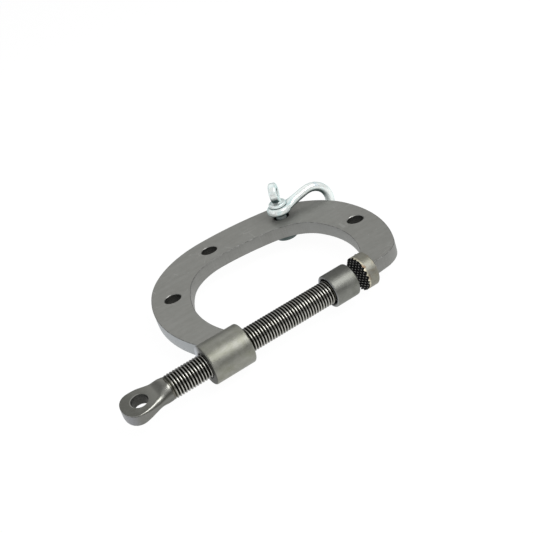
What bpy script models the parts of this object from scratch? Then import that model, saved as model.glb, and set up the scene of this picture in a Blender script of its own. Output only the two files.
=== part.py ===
"""Screw-actuated C-frame pulling clamp with shackle, one object per piece.

The spindle axis is the X axis and +X runs from the pulling eye to the fixed anvil.
The plate of the C-frame lies in the XY plane with its back towards +Y; Z is the plate normal.
The origin is the centre of the anvil's clamping face.
Sizes are in millimetres; finish() scales each piece to metres.
"""

import math

import bmesh
import bpy
from mathutils import Matrix, Vector

MM = 0.001
GAP = 0.3                      # drawn clearance between pieces that touch

for old in list(bpy.data.objects):
    bpy.data.objects.remove(old, do_unlink=True)

PARTS = bpy.data.collections.new("coil_spring_compressor")
CUTTERS = bpy.data.collections.new("cutters")
for group in (PARTS, CUTTERS):
    bpy.context.scene.collection.children.link(group)


# ---------------------------------------------------------------- materials
def metal(name, colour, roughness):
    made = bpy.data.materials.new(name)
    made.use_nodes = True
    shader = made.node_tree.nodes["Principled BSDF"]
    shader.inputs["Base Color"].default_value = (*colour, 1.0)
    shader.inputs["Metallic"].default_value = 1.0
    shader.inputs["Roughness"].default_value = roughness
    return made


FRAME_STEEL = metal("frame_steel", colour=(0.30, 0.30, 0.28), roughness=0.45)
MACHINED = metal("machined_steel", colour=(0.36, 0.36, 0.33), roughness=0.38)
THREAD_STEEL = metal("oiled_thread_steel", colour=(0.16, 0.16, 0.14), roughness=0.30)
JAW_STEEL = metal("tempered_jaw_steel", colour=(0.38, 0.36, 0.29), roughness=0.40)
WELD_STEEL = metal("weld_metal", colour=(0.34, 0.34, 0.33), roughness=0.42)
BEARING = metal("bearing_steel", colour=(0.60, 0.60, 0.60), roughness=0.15)
SPRING_STEEL = metal("spring_steel", colour=(0.12, 0.12, 0.12), roughness=0.35)
ZINC = metal("zinc_plate", colour=(0.75, 0.78, 0.80), roughness=0.25)


# ---------------------------------------------------------------- objects and booleans
def shade(bm, sharp_angle):
    """Smooth faces, with edges sharp above an angle in degrees."""
    limit = math.radians(sharp_angle)
    for face in bm.faces:
        face.smooth = True
    for edge in bm.edges:
        edge.smooth = not (len(edge.link_faces) == 2 and edge.calc_face_angle(0.0) > limit)


def finish(bm, name, mat=None, collection=PARTS, sharp_angle=30, origin_x=0.0):
    """Turns a bmesh drawn in millimetres into an object in metres, its origin on the X axis."""
    bmesh.ops.remove_doubles(bm, verts=bm.verts, dist=1e-4)
    bmesh.ops.dissolve_degenerate(bm, edges=bm.edges, dist=1e-5)
    bmesh.ops.recalc_face_normals(bm, faces=bm.faces)
    origin = Vector((origin_x, 0, 0))
    for vert in bm.verts:
        vert.co = (vert.co - origin) * MM
    shade(bm, sharp_angle)
    mesh = bpy.data.meshes.new(name)
    bm.to_mesh(mesh)
    bm.free()
    if mat:
        mesh.materials.append(mat)
    made = bpy.data.objects.new(name, mesh)
    made.location = origin * MM
    collection.objects.link(made)
    return made


def evaluated_mesh(source):
    bpy.context.view_layer.update()
    depsgraph = bpy.context.evaluated_depsgraph_get()
    return bpy.data.meshes.new_from_object(source.evaluated_get(depsgraph))


def combine(body, bm, tool_name, operation):
    """Applies a boolean to body; the tool stays as a hidden helper."""
    tool = finish(bm, tool_name, collection=CUTTERS)
    tool.hide_render = True
    tool.display_type = "WIRE"
    modifier = body.modifiers.new(operation.lower(), "BOOLEAN")
    modifier.operation = operation
    modifier.solver = "EXACT"
    modifier.object = tool
    result = evaluated_mesh(body)
    old_mesh = body.data
    body.modifiers.clear()
    body.data = result
    bpy.data.meshes.remove(old_mesh)


def cut(body, bm, name):
    combine(body, bm, "cut_" + name, "DIFFERENCE")


def join(body, bm, name):
    combine(body, bm, "add_" + name, "UNION")


def keep(body, bm, name):
    combine(body, bm, "keep_" + name, "INTERSECT")


def settle(body, mat, sharp_angle=30):
    """Cleans a body after its booleans and leaves it one material. Distances are in metres."""
    bm = bmesh.new()
    bm.from_mesh(body.data)
    bmesh.ops.remove_doubles(bm, verts=bm.verts, dist=2e-6)
    bmesh.ops.dissolve_degenerate(bm, edges=bm.edges, dist=1e-6)
    bmesh.ops.triangulate(bm, faces=bm.faces)
    bmesh.ops.recalc_face_normals(bm, faces=bm.faces)
    shade(bm, sharp_angle)
    for face in bm.faces:
        face.material_index = 0
    bm.to_mesh(body.data)
    bm.free()
    body.data.materials.clear()
    body.data.materials.append(mat)


# ---------------------------------------------------------------- shapes
CORNER_STEPS = 3


def corner(centre_x, centre_r, radius, start, end):
    """Points of a rounded corner, angles in degrees."""
    angles = [math.radians(start + (end - start) * i / CORNER_STEPS)
              for i in range(CORNER_STEPS + 1)]
    return [(centre_x + radius * math.cos(a), centre_r + radius * math.sin(a)) for a in angles]


def rim(x0, x1, radius, round0, round1):
    """Outer profile of a turned body from x0 to x1, rounded at both ends."""
    return (corner(x0 + round0, radius - round0, round0, 180, 90)
            + corner(x1 - round1, radius - round1, round1, 90, 0))


def lathe(profile, steps, closed=False):
    """Revolves (x, r) points about the X axis. A closed profile makes a bored body."""
    bm = bmesh.new()
    verts = [bm.verts.new((x, r, 0)) for x, r in profile]
    edges = [bm.edges.new(pair) for pair in zip(verts, verts[1:])]
    if closed:
        edges.append(bm.edges.new((verts[-1], verts[0])))
    bmesh.ops.spin(bm, geom=verts + edges, cent=(0, 0, 0), axis=(1, 0, 0),
                   angle=math.tau, steps=steps, use_merge=True)
    bmesh.ops.remove_doubles(bm, verts=bm.verts, dist=1e-4)
    return bm


def rounded_disc(x0, x1, radius, rounding, steps):
    profile = [(x0, 0)] + rim(x0, x1, radius, rounding, rounding) + [(x1, 0)]
    return lathe(profile, steps)


def rod(radius, x0, x1, steps):
    return lathe([(x0, 0), (x0, radius), (x1, radius), (x1, 0)], steps)


def ball(centre_x, radius, steps=20, rings=10):
    angles = [math.pi * i / rings for i in range(rings + 1)]
    return lathe([(centre_x - radius * math.cos(a), radius * math.sin(a)) for a in angles], steps)


def prism(points, z0, z1):
    """Extrudes a closed XY outline."""
    bm = bmesh.new()
    base = bm.faces.new([bm.verts.new((x, y, z0)) for x, y in points])
    extruded = bmesh.ops.extrude_face_region(bm, geom=[base])["geom"]
    top = [item for item in extruded if isinstance(item, bmesh.types.BMVert)]
    bmesh.ops.translate(bm, vec=(0, 0, z1 - z0), verts=top)
    bmesh.ops.recalc_face_normals(bm, faces=bm.faces)
    return bm


def delete_loose(bm):
    loose = [vert for vert in bm.verts if not vert.link_faces]
    bmesh.ops.delete(bm, geom=loose, context="VERTS")


def mirrored_hull(stations):
    """Convex hull of (x, y, z) points and their mirror images below the XY plane."""
    bm = bmesh.new()
    for x, y, z in stations:
        bm.verts.new((x, y, -z))
        bm.verts.new((x, y, z))
    bmesh.ops.convex_hull(bm, input=bm.verts)
    delete_loose(bm)
    return bm


def rotate(bm, degrees, axis):
    matrix = Matrix.Rotation(math.radians(degrees), 4, axis)
    bmesh.ops.transform(bm, matrix=matrix, verts=bm.verts)
    return bm


def stand(bm, place=(0, 0, 0)):
    """Carries a body drawn on the X axis onto the Z axis, then to its place."""
    turn = Vector((1, 0, 0)).rotation_difference(Vector((0, 0, 1)))
    bmesh.ops.transform(bm, matrix=turn.to_matrix().to_4x4(), verts=bm.verts)
    bmesh.ops.translate(bm, vec=Vector(place), verts=bm.verts)
    return bm


def clamp01(value):
    return max(0.0, min(1.0, value))


# ---------------------------------------------------------------- threads
PITCH = 3.0                    # M24 x 3 right-hand
THREAD_SEGMENTS = 18


def thread_body(x0, x1, root, crest, end_radius):
    """Closed helical V-thread on the X axis, right-handed, running out to end_radius at both ends.

    Even rows lie on the crest and odd rows on the root. Every call shares one thread phase."""
    first_row = math.floor(2 * x0 / PITCH) - 3
    last_row = math.ceil(2 * x1 / PITCH) + 1
    bm = bmesh.new()
    grid = {}
    for j in range(THREAD_SEGMENTS):
        angle = math.tau * j / THREAD_SEGMENTS
        for k in range(first_row, last_row + 1):
            x = PITCH * (k / 2 + j / THREAD_SEGMENTS)
            depth = clamp01(min(x - x0, x1 - x) / (PITCH * 0.5))
            full_radius = crest if k % 2 == 0 else root
            r = end_radius + (full_radius - end_radius) * depth
            x = max(x0, min(x1, x))
            grid[j, k] = bm.verts.new((x, r * math.cos(angle), r * math.sin(angle)))
    for j in range(THREAD_SEGMENTS):
        # the last segment meets the first one a full pitch, or two rows, further on
        next_j, shift = (j + 1, 0) if j + 1 < THREAD_SEGMENTS else (0, 2)
        for k in range(first_row, last_row):
            if (next_j, k + 1 + shift) in grid:
                near, far = grid[j, k], grid[next_j, k + 1 + shift]
                bm.faces.new((near, grid[j, k + 1], far))
                bm.faces.new((near, far, grid[next_j, k + shift]))
    bmesh.ops.remove_doubles(bm, verts=bm.verts, dist=1e-4)
    bmesh.ops.dissolve_degenerate(bm, edges=bm.edges, dist=1e-5)
    delete_loose(bm)
    rims = [edge for edge in bm.edges if len(edge.link_faces) == 1]
    bmesh.ops.holes_fill(bm, edges=rims, sides=0)
    return bm


# ---------------------------------------------------------------- threaded boss
BOSS_X0, BOSS_X1 = -175.3, -132.3
BOSS_R = 20.0
BOSS_ROUND = 1.6
NUT_CREST_R = 12.6             # major radius of the internal thread, with clearance
NUT_ROOT_R = 10.8              # minor radius of the internal thread, with clearance
NUT_OVERRUN = 1.0              # thread cutter past each end of the boss


def build_boss():
    boss = finish(rounded_disc(BOSS_X0, BOSS_X1, BOSS_R, BOSS_ROUND, 40), "nut_boss", MACHINED)
    thread = thread_body(BOSS_X0 - NUT_OVERRUN, BOSS_X1 + NUT_OVERRUN,
                         NUT_ROOT_R, NUT_CREST_R, end_radius=NUT_CREST_R)
    cut(boss, thread, "nut_thread")
    settle(boss, MACHINED)


def boss_clearance():
    """Cylinder that clears the boss from the pieces round it."""
    return rod(BOSS_R + GAP, BOSS_X0 - 10, BOSS_X1 + 10, 64)


# ---------------------------------------------------------------- fixed anvil
ANVIL_T = 14.0
ANVIL_R = 17.0
ANVIL_ROUND = 1.2              # back rim
ANVIL_CHAMFER = 0.3            # rim of the clamping face


def build_anvil():
    profile = [(0, 0), (0, ANVIL_R - ANVIL_CHAMFER), (ANVIL_CHAMFER, ANVIL_R)]
    profile += corner(ANVIL_T - ANVIL_ROUND, ANVIL_R - ANVIL_ROUND, ANVIL_ROUND, 90, 0)
    profile += [(ANVIL_T, 0)]
    finish(lathe(profile, 48), "anvil", JAW_STEEL)


# ---------------------------------------------------------------- C-frame plate
HALF_PLATE = 14.0 / 2
PLATE_END_X = ANVIL_T + GAP
FRAME_HOLE_D = 18.0
# shackle holes (x, y), from the boss round to the anvil
HOLES = {"A": (-144.3, 128.5), "B": (-69.5, 184.5), "D": (21.0, 172.3), "C": (61.0, 83.0)}

# Each edge starts at the boss and ends at the anvil: start point, heading in degrees from +X,
# then (radius, clockwise sweep in degrees) of each arc.
OUTER_EDGE = ((-168.7, 28.9), 107.5, (
    (165.0, 45.1), (106.5, 59.9), (299.0, 16.3), (74.6, 37.8),
    (108.0, 29.1), (174.0, 40.0), (35.2, 53.0)))
INNER_EDGE = ((-137.7, 26.9), 105.5, (
    (123.4, 32.0), (150.5, 16.1), (61.3, 58.0), (256.0, 14.9),
    (51.4, 57.3), (118.6, 45.1), (17.0, 50.0)))
ARC_STEP = 5.0                 # degrees of sweep per straight facet
TIP_MARGIN = 0.5               # inner points nearer the end line than this are dropped...
TIP_ZONE_Y = 60                # ...where they lie at or below this height


def arc_chain(start, heading_degrees, arcs, offset):
    """Walks tangent clockwise arcs, the line moved by offset to the left of travel.

    Returns the points and the final heading in radians."""
    x, y = start
    heading = math.radians(heading_degrees)
    points = []

    def add_point():
        points.append((x - offset * math.sin(heading), y + offset * math.cos(heading)))

    for radius, sweep in arcs:
        facets = round(sweep / ARC_STEP)
        step = math.radians(sweep) / facets
        chord = 2 * radius * math.sin(step / 2)
        for _ in range(facets):
            add_point()
            x += chord * math.cos(heading - step / 2)
            y += chord * math.sin(heading - step / 2)
            heading -= step
    add_point()
    return points, heading


def run_to_y(point, heading, y):
    run = (y - point[1]) / math.sin(heading)
    return (point[0] + run * math.cos(heading), y)


def run_to_x(point, heading, x):
    run = (x - point[0]) / math.cos(heading)
    return (x, point[1] + run * math.sin(heading))


def plate_outline(grow=0.0, foot_y=10.0, end_x=PLATE_END_X):
    """Closed outline: outer edge, anvil end, inner edge back to the boss, foot in the saddle."""
    outer, outer_heading = arc_chain(*OUTER_EDGE, grow)
    inner, inner_heading = arc_chain(*INNER_EDGE, -grow)
    foot_outer = run_to_y(outer[0], math.radians(OUTER_EDGE[1]), foot_y)
    foot_inner = run_to_y(inner[0], math.radians(INNER_EDGE[1]), foot_y)
    tip_outer = run_to_x(outer[-1], outer_heading, end_x)
    inner = [(x, y) for x, y in inner if x < 0 or x > end_x + TIP_MARGIN or y > TIP_ZONE_Y]
    tip_inner = run_to_x(inner[-1], inner_heading, end_x)
    return [foot_outer] + outer + [tip_outer, tip_inner] + inner[::-1] + [foot_inner]


def build_frame():
    frame = finish(prism(plate_outline(), -HALF_PLATE, HALF_PLATE), "c_frame", FRAME_STEEL)
    for key, (x, y) in HOLES.items():
        cut(frame, stand(rod(FRAME_HOLE_D / 2, -20, 20, 32), (x, y, 0)), "hole_" + key)
    cut(frame, boss_clearance(), "saddle")
    settle(frame, FRAME_STEEL)


# ---------------------------------------------------------------- swivel pad, ball and ring sizes
PAD_X0, PAD_X1 = -35.5, -8.9
PAD_R = 16.7
PAD_ROUND = 1.6                # rim at PAD_X1
PAD_MOUTH_ROUND = PAD_ROUND * 0.6
PAD_BORE_R = 13.5
PAD_MOUTH_CHAMFER = 0.8
PAD_FLOOR_X = -15.5
PAD_FLOOR_CHAMFER = 1.2
BALL_X = -19.5
BALL_R = 6.0
SEAT_R = 6.4
SEAT_STEPS = 4
RING_X0, RING_X1 = -30.6, -29.2
RING_R0, RING_R1 = 10.6, 14.4
RING_GAP_HALF_W = 2.6

# ---------------------------------------------------------------- spindle
SPINDLE_CREST_R = 11.9
SPINDLE_ROOT_R = 10.2
THREAD_X0, THREAD_X1 = -213.4, -33.0
SPINDLE_OVERLAP = 2.0          # thread runs this far into the neck, nose this far into the thread

EYE_X = -243.2                 # centre of the pulling eye
EYE_END_X = -261.2             # outer end of the eye
EYE_WIDE_X = -247.0            # where the eye is widest
EYE_HALF_W = 16.4              # half width there
EYE_END_POWER = 2.15           # superellipse power of the outer end
EYE_END_STEPS = 24
EYE_HOLE_D = 16.6
EYE_HALF_T = 10.2 / 2          # height of the upper flat above the spindle axis
EYE_DROP = 1.2                 # the lower flat lies this much further out
EYE_DROP_X = -219.0            # the drop grows from here towards -X...
EYE_DROP_RUN = 10.0            # ...over this length
EYE_TURN = 10.0                # degrees the eye flat is turned about the spindle axis
NECK_R = 11.6
# x and half width of the flanks in plan
EYE_FLANK = (
    (-241.0, EYE_HALF_W - 0.3), (-235.5, EYE_HALF_W - 1.5), (-230.0, 13.2),
    (-225.5, NECK_R + 0.4), (-221.0, NECK_R + 0.2), (THREAD_X0 + 1.0, NECK_R + 0.6))
# x and share of the rise from the eye flat to the neck radius
EYE_RAMP = ((-229.5, 0.0), (-227.0, 0.12), (-224.0, 0.37),
            (-221.5, 0.62), (-219.5, 0.79), (-217.5, 0.91))
# x and radius of the turned envelope of eye and neck
EYE_BULB = (
    (EYE_END_X - 3, 0), (EYE_END_X - 3, EYE_HALF_W + 1.6), (-239.0, EYE_HALF_W + 1.4),
    (-231.0, EYE_HALF_W - 0.9), (-225.0, NECK_R + 1.5), (-221.0, NECK_R + 0.4),
    (THREAD_X0 - 2.4, NECK_R), (THREAD_X0, NECK_R), (THREAD_X0, 0))

NOSE_NECK_R = 9.0
FLANGE_X0, FLANGE_X1 = -27.2, -22.0
FLANGE_R = 12.4
NOSE_START_X = THREAD_X1 - SPINDLE_OVERLAP
# x and radius of the neck and flange at the pad end
NOSE_PROFILE = (
    (NOSE_START_X, 0), (NOSE_START_X, NOSE_NECK_R),
    (FLANGE_X0 - 0.8, NOSE_NECK_R), (FLANGE_X0, NOSE_NECK_R + 0.8),
    (FLANGE_X0, FLANGE_R - 0.4), (FLANGE_X0 + 0.4, FLANGE_R),
    (FLANGE_X1 - 1.2, FLANGE_R), (FLANGE_X1, FLANGE_R - 1.2), (FLANGE_X1, 0))


def eye_plan():
    """Plan outline: blunt outer end, nearly straight flanks tapering to the neck."""
    reach = EYE_WIDE_X - EYE_END_X
    power = 2 / EYE_END_POWER
    end = []
    for i in range(EYE_END_STEPS + 1):
        angle = math.radians(90 + 180 * i / EYE_END_STEPS)
        sine = math.sin(angle)
        end.append((EYE_WIDE_X - reach * abs(math.cos(angle)) ** power,
                    math.copysign(EYE_HALF_W * abs(sine) ** power, sine)))
    return end + [(x, -y) for x, y in EYE_FLANK] + list(reversed(EYE_FLANK))


def eye_side():
    """Side outline in (x, z): flat eye rising through a long ramp to the neck."""
    rise = NECK_R - EYE_HALF_T
    top = [(EYE_END_X - 2, EYE_HALF_T)]
    top += [(x, EYE_HALF_T + share * rise) for x, share in EYE_RAMP]
    top += [(-215.5, NECK_R + 0.5), (THREAD_X0 + 1.0, NECK_R + 1.2)]
    low = [(x, -z - EYE_DROP * clamp01((EYE_DROP_X - x) / EYE_DROP_RUN)) for x, z in reversed(top)]
    return top + low


def in_eye_plane(bm):
    return rotate(bm, EYE_TURN, "X")


def build_spindle():
    """Eye, thread and nose in one piece."""
    spindle = finish(in_eye_plane(prism(eye_plan(), -16, 16)), "spindle", THREAD_STEEL)
    side = rotate(prism(eye_side(), -24, 24), 90, "X")
    keep(spindle, in_eye_plane(side), "eye_side")
    keep(spindle, lathe(EYE_BULB, 32), "eye_bulb")
    hole = stand(rod(EYE_HOLE_D / 2, -20, 20, 32), (EYE_X, 0, 0))
    cut(spindle, in_eye_plane(hole), "eye_hole")
    thread = thread_body(THREAD_X0 - SPINDLE_OVERLAP, THREAD_X1,
                         SPINDLE_ROOT_R, SPINDLE_CREST_R, end_radius=SPINDLE_ROOT_R)
    join(spindle, thread, "spindle_thread")
    join(spindle, lathe(NOSE_PROFILE, 32), "spindle_nose")
    cut(spindle, ball(BALL_X, SEAT_R), "spindle_seat")
    settle(spindle, THREAD_STEEL, 35)


# ---------------------------------------------------------------- thrust ball, swivel pad, ring
def build_ball():
    finish(ball(BALL_X, BALL_R), "thrust_ball", BEARING, sharp_angle=60, origin_x=BALL_X)


def build_pad():
    """Cup with a ring groove and a ball seat, open towards -X."""
    groove_x0, groove_x1 = RING_X0 - GAP, RING_X1 + GAP
    groove_r = RING_R1 + GAP
    profile = [(PAD_X1, 0)]
    profile += reversed(rim(PAD_X0, PAD_X1, PAD_R, PAD_MOUTH_ROUND, PAD_ROUND))
    profile += [
        (PAD_X0, PAD_BORE_R + PAD_MOUTH_CHAMFER), (PAD_X0 + PAD_MOUTH_CHAMFER, PAD_BORE_R),
        (groove_x0, PAD_BORE_R), (groove_x0, groove_r),
        (groove_x1, groove_r), (groove_x1, PAD_BORE_R),
        (PAD_FLOOR_X - PAD_FLOOR_CHAMFER, PAD_BORE_R),
        (PAD_FLOOR_X, PAD_BORE_R - PAD_FLOOR_CHAMFER)]
    seat_angle = math.acos((PAD_FLOOR_X - BALL_X) / SEAT_R)
    for i in range(SEAT_STEPS + 1):
        angle = seat_angle * (1 - i / SEAT_STEPS)
        profile.append((BALL_X + SEAT_R * math.cos(angle), SEAT_R * math.sin(angle)))
    finish(lathe(profile, 32), "swivel_pad", MACHINED, origin_x=BALL_X)


def build_ring():
    """Open ring with its gap towards +Y."""
    section = [(RING_X0, RING_R0), (RING_X1, RING_R0), (RING_X1, RING_R1), (RING_X0, RING_R1)]
    ring = finish(lathe(section, 40, closed=True), "pad_snap_ring", SPRING_STEEL, origin_x=BALL_X)
    x0, x1 = RING_X0 - 1, RING_X1 + 1
    slot = prism([(x0, 0), (x1, 0), (x1, 30), (x0, 30)], -RING_GAP_HALF_W, RING_GAP_HALF_W)
    cut(ring, slot, "ring_gap")
    settle(ring, SPRING_STEEL)


# ---------------------------------------------------------------- weld beads
BOSS_WELD_LEG = 4.0            # on the outer edge and both faces of the plate
BOSS_WELD_INNER_LEG = 2.2      # on the inner edge
BOSS_WELD_TOE = 0.7            # thickness left at the top of the bead
BOSS_WELD_LOW_Y = 15.0
BOSS_WELD_SPAN_Y = 17.0        # height at which the plate's width sets the wide part of the bead
BOSS_WELD_SHOULDER_Y = 17.5
BOSS_WELD_HIGH_Y = 24.0
ANVIL_WELD_LENGTH = 4.6        # along X
ANVIL_WELD_MAX_Y = 22.0


def foot_span(y):
    """x of the plate's outer and inner edges at a height within its foot."""
    outline = plate_outline(foot_y=0.0)
    span = []
    for (ax, ay), (bx, by) in ((outline[0], outline[1]), (outline[-1], outline[-2])):
        span.append(ax + (bx - ax) * (y - ay) / (by - ay))
    return span


def build_boss_weld():
    outer_x, inner_x = foot_span(BOSS_WELD_SPAN_Y)
    top_outer_x, top_inner_x = foot_span(BOSS_WELD_HIGH_Y)
    wide_z = HALF_PLATE + BOSS_WELD_LEG
    stations = []
    for y, z in ((BOSS_WELD_LOW_Y, wide_z), (BOSS_WELD_SHOULDER_Y, wide_z - 0.5)):
        stations += [(outer_x - BOSS_WELD_LEG, y, z), (inner_x + BOSS_WELD_INNER_LEG, y, z)]
    toe_z = HALF_PLATE + BOSS_WELD_TOE
    stations += [(top_outer_x - BOSS_WELD_TOE, BOSS_WELD_HIGH_Y, toe_z),
                 (top_inner_x + BOSS_WELD_TOE, BOSS_WELD_HIGH_Y, toe_z)]
    weld = finish(mirrored_hull(stations), "boss_weld", WELD_STEEL)
    cut(weld, boss_clearance(), "boss_weld_bore")
    plate = prism(plate_outline(GAP, foot_y=5.0), -HALF_PLATE - GAP, HALF_PLATE + GAP)
    cut(weld, plate, "boss_weld_plate")
    settle(weld, WELD_STEEL, 50)


def build_anvil_weld():
    tip_low, tip_high = sorted(y for x, y in plate_outline() if abs(x - PLATE_END_X) < 1e-6)
    # x from the anvil end, then reach below the tip, above the tip and past the plate's faces
    sections = ((0.0, 3.4, 3.0, 4.0), (0.8, 3.2, 2.8, 3.8), (ANVIL_WELD_LENGTH, 0.9, 2.4, 0.6))
    stations = []
    for along, below, above, aside in sections:
        x, z = PLATE_END_X + along, HALF_PLATE + aside
        high = tip_high + above
        if along < ANVIL_WELD_LENGTH:
            high = min(high, ANVIL_WELD_MAX_Y)
        stations += [(x, tip_low - below, z), (x, high, z)]
    weld = finish(mirrored_hull(stations), "anvil_weld", WELD_STEEL)
    plate = prism(plate_outline(GAP, end_x=5.0), -HALF_PLATE - GAP, HALF_PLATE + GAP)
    cut(weld, plate, "anvil_weld_plate")
    settle(weld, WELD_STEEL, 50)


# ---------------------------------------------------------------- shackle
# Both pieces are drawn with the pin on the Z axis, then placed in hole D.
SHACKLE_LIFT = 0.9             # the shackle rests this much above the plate mid-plane
SHACKLE_PLACE = Vector((*HOLES["D"], SHACKLE_LIFT)) * MM

COLLAR_R, COLLAR_T = 9.8, 4.0
EAR_Z = 15.25                  # centre of each ear above and below the shackle's own mid-plane
EAR_T = 9.3
EAR_R = 13.6
EAR_ROUND = 3.4
EAR_HOLE_R = 6.5
EAR_TAPPED_R = 6.3

BOW_WIRE_R = 5.3
BOW_MEAN_R = 22.2              # radius of the bow's centreline
BOW_CENTRE = 41.3              # pin axis to the centre of the bow
BOW_START = COLLAR_R + 0.8     # pin axis to the ends of the wire
BOW_SPREAD = 13.0              # pin axis to where the wire starts to spread
BOW_STEPS = 22
BOW_DIRECTION = -4.0           # degrees in the plate plane

PIN_R = 5.9
PIN_TIP_Z = -22.6
PIN_TIP_CHAMFER = 1.0
HEAD_R, HEAD_T, HEAD_HOLE_R = 10.6, 8.0, 4.2
HEAD_ROUND = 2.4
HEAD_HOLE_CHAMFER = 0.6
HEAD_SINK = 0.2                # the head's rim sinks this far into the collar
HEAD_NORMAL = -36.5            # degrees in the plate plane


def bow_path():
    """Centreline of the wire in (x, z), from the upper ear round to the lower one."""
    reach = BOW_CENTRE - BOW_SPREAD
    start = math.atan2(EAR_Z, -reach) - math.acos(BOW_MEAN_R / math.hypot(reach, EAR_Z))
    points = [(BOW_START, EAR_Z), (BOW_SPREAD, EAR_Z)]
    for i in range(BOW_STEPS + 1):
        angle = start - 2 * start * i / BOW_STEPS
        points.append((BOW_CENTRE + BOW_MEAN_R * math.cos(angle), BOW_MEAN_R * math.sin(angle)))
    return points + [(BOW_SPREAD, -EAR_Z), (BOW_START, -EAR_Z)]


def bow_wire():
    """Bevels a curve along the bow path and returns it as a bmesh in millimetres."""
    curve = bpy.data.curves.new("bow_wire", "CURVE")
    curve.dimensions = "3D"
    curve.bevel_depth = BOW_WIRE_R * MM
    curve.bevel_resolution = 2
    curve.use_fill_caps = True
    spline = curve.splines.new("POLY")
    path = bow_path()
    spline.points.add(len(path) - 1)
    for point, (x, z) in zip(spline.points, path):
        point.co = (x * MM, 0, z * MM, 1)
    wire = bpy.data.objects.new("bow_wire", curve)
    CUTTERS.objects.link(wire)
    mesh = evaluated_mesh(wire)
    bm = bmesh.new()
    bm.from_mesh(mesh)
    bpy.data.meshes.remove(mesh)
    bpy.data.objects.remove(wire, do_unlink=True)
    bpy.data.curves.remove(curve)
    bmesh.ops.scale(bm, vec=(1 / MM,) * 3, verts=bm.verts)
    return bm


def build_bow():
    bow = finish(bow_wire(), "shackle_bow", ZINC)
    for name, z in (("ear_top", EAR_Z), ("ear_bottom", -EAR_Z)):
        ear = rounded_disc(-EAR_T / 2, EAR_T / 2, EAR_R, EAR_ROUND, 28)
        join(bow, stand(ear, (0, 0, z)), name)
    cut(bow, stand(rod(EAR_HOLE_R, 5, 25, 24)), "ear_hole")
    cut(bow, stand(rod(EAR_TAPPED_R, -30, -5, 24)), "ear_tapped_hole")
    settle(bow, ZINC, 50)
    bow.rotation_euler = (0, 0, math.radians(BOW_DIRECTION))
    bow.location = SHACKLE_PLACE


def build_pin():
    """Pin with a collar and an eye head."""
    collar_z = EAR_Z + EAR_T / 2 + GAP
    collar_top = collar_z + COLLAR_T
    shank = [
        (PIN_TIP_Z, 0), (PIN_TIP_Z, PIN_R - PIN_TIP_CHAMFER), (PIN_TIP_Z + PIN_TIP_CHAMFER, PIN_R),
        (collar_z, PIN_R), (collar_z, COLLAR_R - 0.6), (collar_z + 0.6, COLLAR_R),
        (collar_top - 1.2, COLLAR_R), (collar_top, COLLAR_R - 1.4),
        (collar_top + 1.2, 4.4), (collar_top + 5.0, 4.0), (collar_top + 5.0, 0)]
    pin = finish(stand(lathe(shank, 24)), "shackle_pin", ZINC)

    half = HEAD_T / 2
    mouth_r = HEAD_HOLE_R + HEAD_HOLE_CHAMFER
    head_profile = [
        (-half, mouth_r), (-half + HEAD_HOLE_CHAMFER, HEAD_HOLE_R),
        (half - HEAD_HOLE_CHAMFER, HEAD_HOLE_R), (half, mouth_r)]
    head_profile += reversed(rim(-half, half, HEAD_R, HEAD_ROUND, HEAD_ROUND))
    head = rotate(lathe(head_profile, 28, closed=True), HEAD_NORMAL, "Z")
    head_z = collar_top + HEAD_R - HEAD_SINK
    bmesh.ops.translate(head, vec=(0, 0, head_z), verts=head.verts)
    join(pin, head, "pin_head")
    settle(pin, ZINC, 50)
    pin.location = SHACKLE_PLACE


# ---------------------------------------------------------------- build
build_frame()
build_boss()
build_spindle()
build_ball()
build_pad()
build_ring()
build_anvil()
build_boss_weld()
build_anvil_weld()
build_bow()
build_pin()

bpy.context.view_layer.update()
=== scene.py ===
"""C-frame screw clamp with an eye spindle, a toothed anvil and a lifting shackle.

The frame plate lies in the XY plane, centred on z = 0, and arches towards +Y. The spindle runs
along the X axis: its flat eye is at -X, its swivel pad faces the anvil, whose teeth start at x = 0.
The shackle hangs on a pin parallel to Z. Shapes are built in millimetres and scaled to metres.
"""
import math

import bmesh
import bpy
import numpy as np
from mathutils import Matrix, Vector, noise


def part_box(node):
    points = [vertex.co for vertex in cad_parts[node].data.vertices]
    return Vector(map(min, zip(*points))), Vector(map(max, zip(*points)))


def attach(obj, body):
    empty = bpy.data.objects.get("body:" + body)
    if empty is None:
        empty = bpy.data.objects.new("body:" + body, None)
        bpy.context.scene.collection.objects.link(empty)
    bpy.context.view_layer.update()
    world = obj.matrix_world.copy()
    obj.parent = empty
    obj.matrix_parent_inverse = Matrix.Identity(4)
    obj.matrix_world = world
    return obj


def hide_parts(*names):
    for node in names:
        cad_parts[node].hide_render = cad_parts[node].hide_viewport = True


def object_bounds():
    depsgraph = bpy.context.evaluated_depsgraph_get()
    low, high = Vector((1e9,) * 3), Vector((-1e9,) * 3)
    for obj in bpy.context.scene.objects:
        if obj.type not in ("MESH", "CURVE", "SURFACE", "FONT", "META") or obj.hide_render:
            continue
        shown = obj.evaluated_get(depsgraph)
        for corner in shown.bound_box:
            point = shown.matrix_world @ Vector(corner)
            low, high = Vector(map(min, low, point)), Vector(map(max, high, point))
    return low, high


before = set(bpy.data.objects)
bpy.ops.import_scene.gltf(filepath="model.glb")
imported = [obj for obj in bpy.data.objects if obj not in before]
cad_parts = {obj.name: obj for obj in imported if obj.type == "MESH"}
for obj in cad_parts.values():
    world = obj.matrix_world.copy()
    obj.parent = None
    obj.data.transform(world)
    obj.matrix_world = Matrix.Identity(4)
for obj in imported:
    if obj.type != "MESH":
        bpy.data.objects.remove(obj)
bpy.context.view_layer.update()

MM = 0.001


def box_mm(node):
    """Low and high corner of a CAD node, in millimetres."""
    low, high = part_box(node)
    return [v / MM for v in low], [v / MM for v in high]


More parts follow.
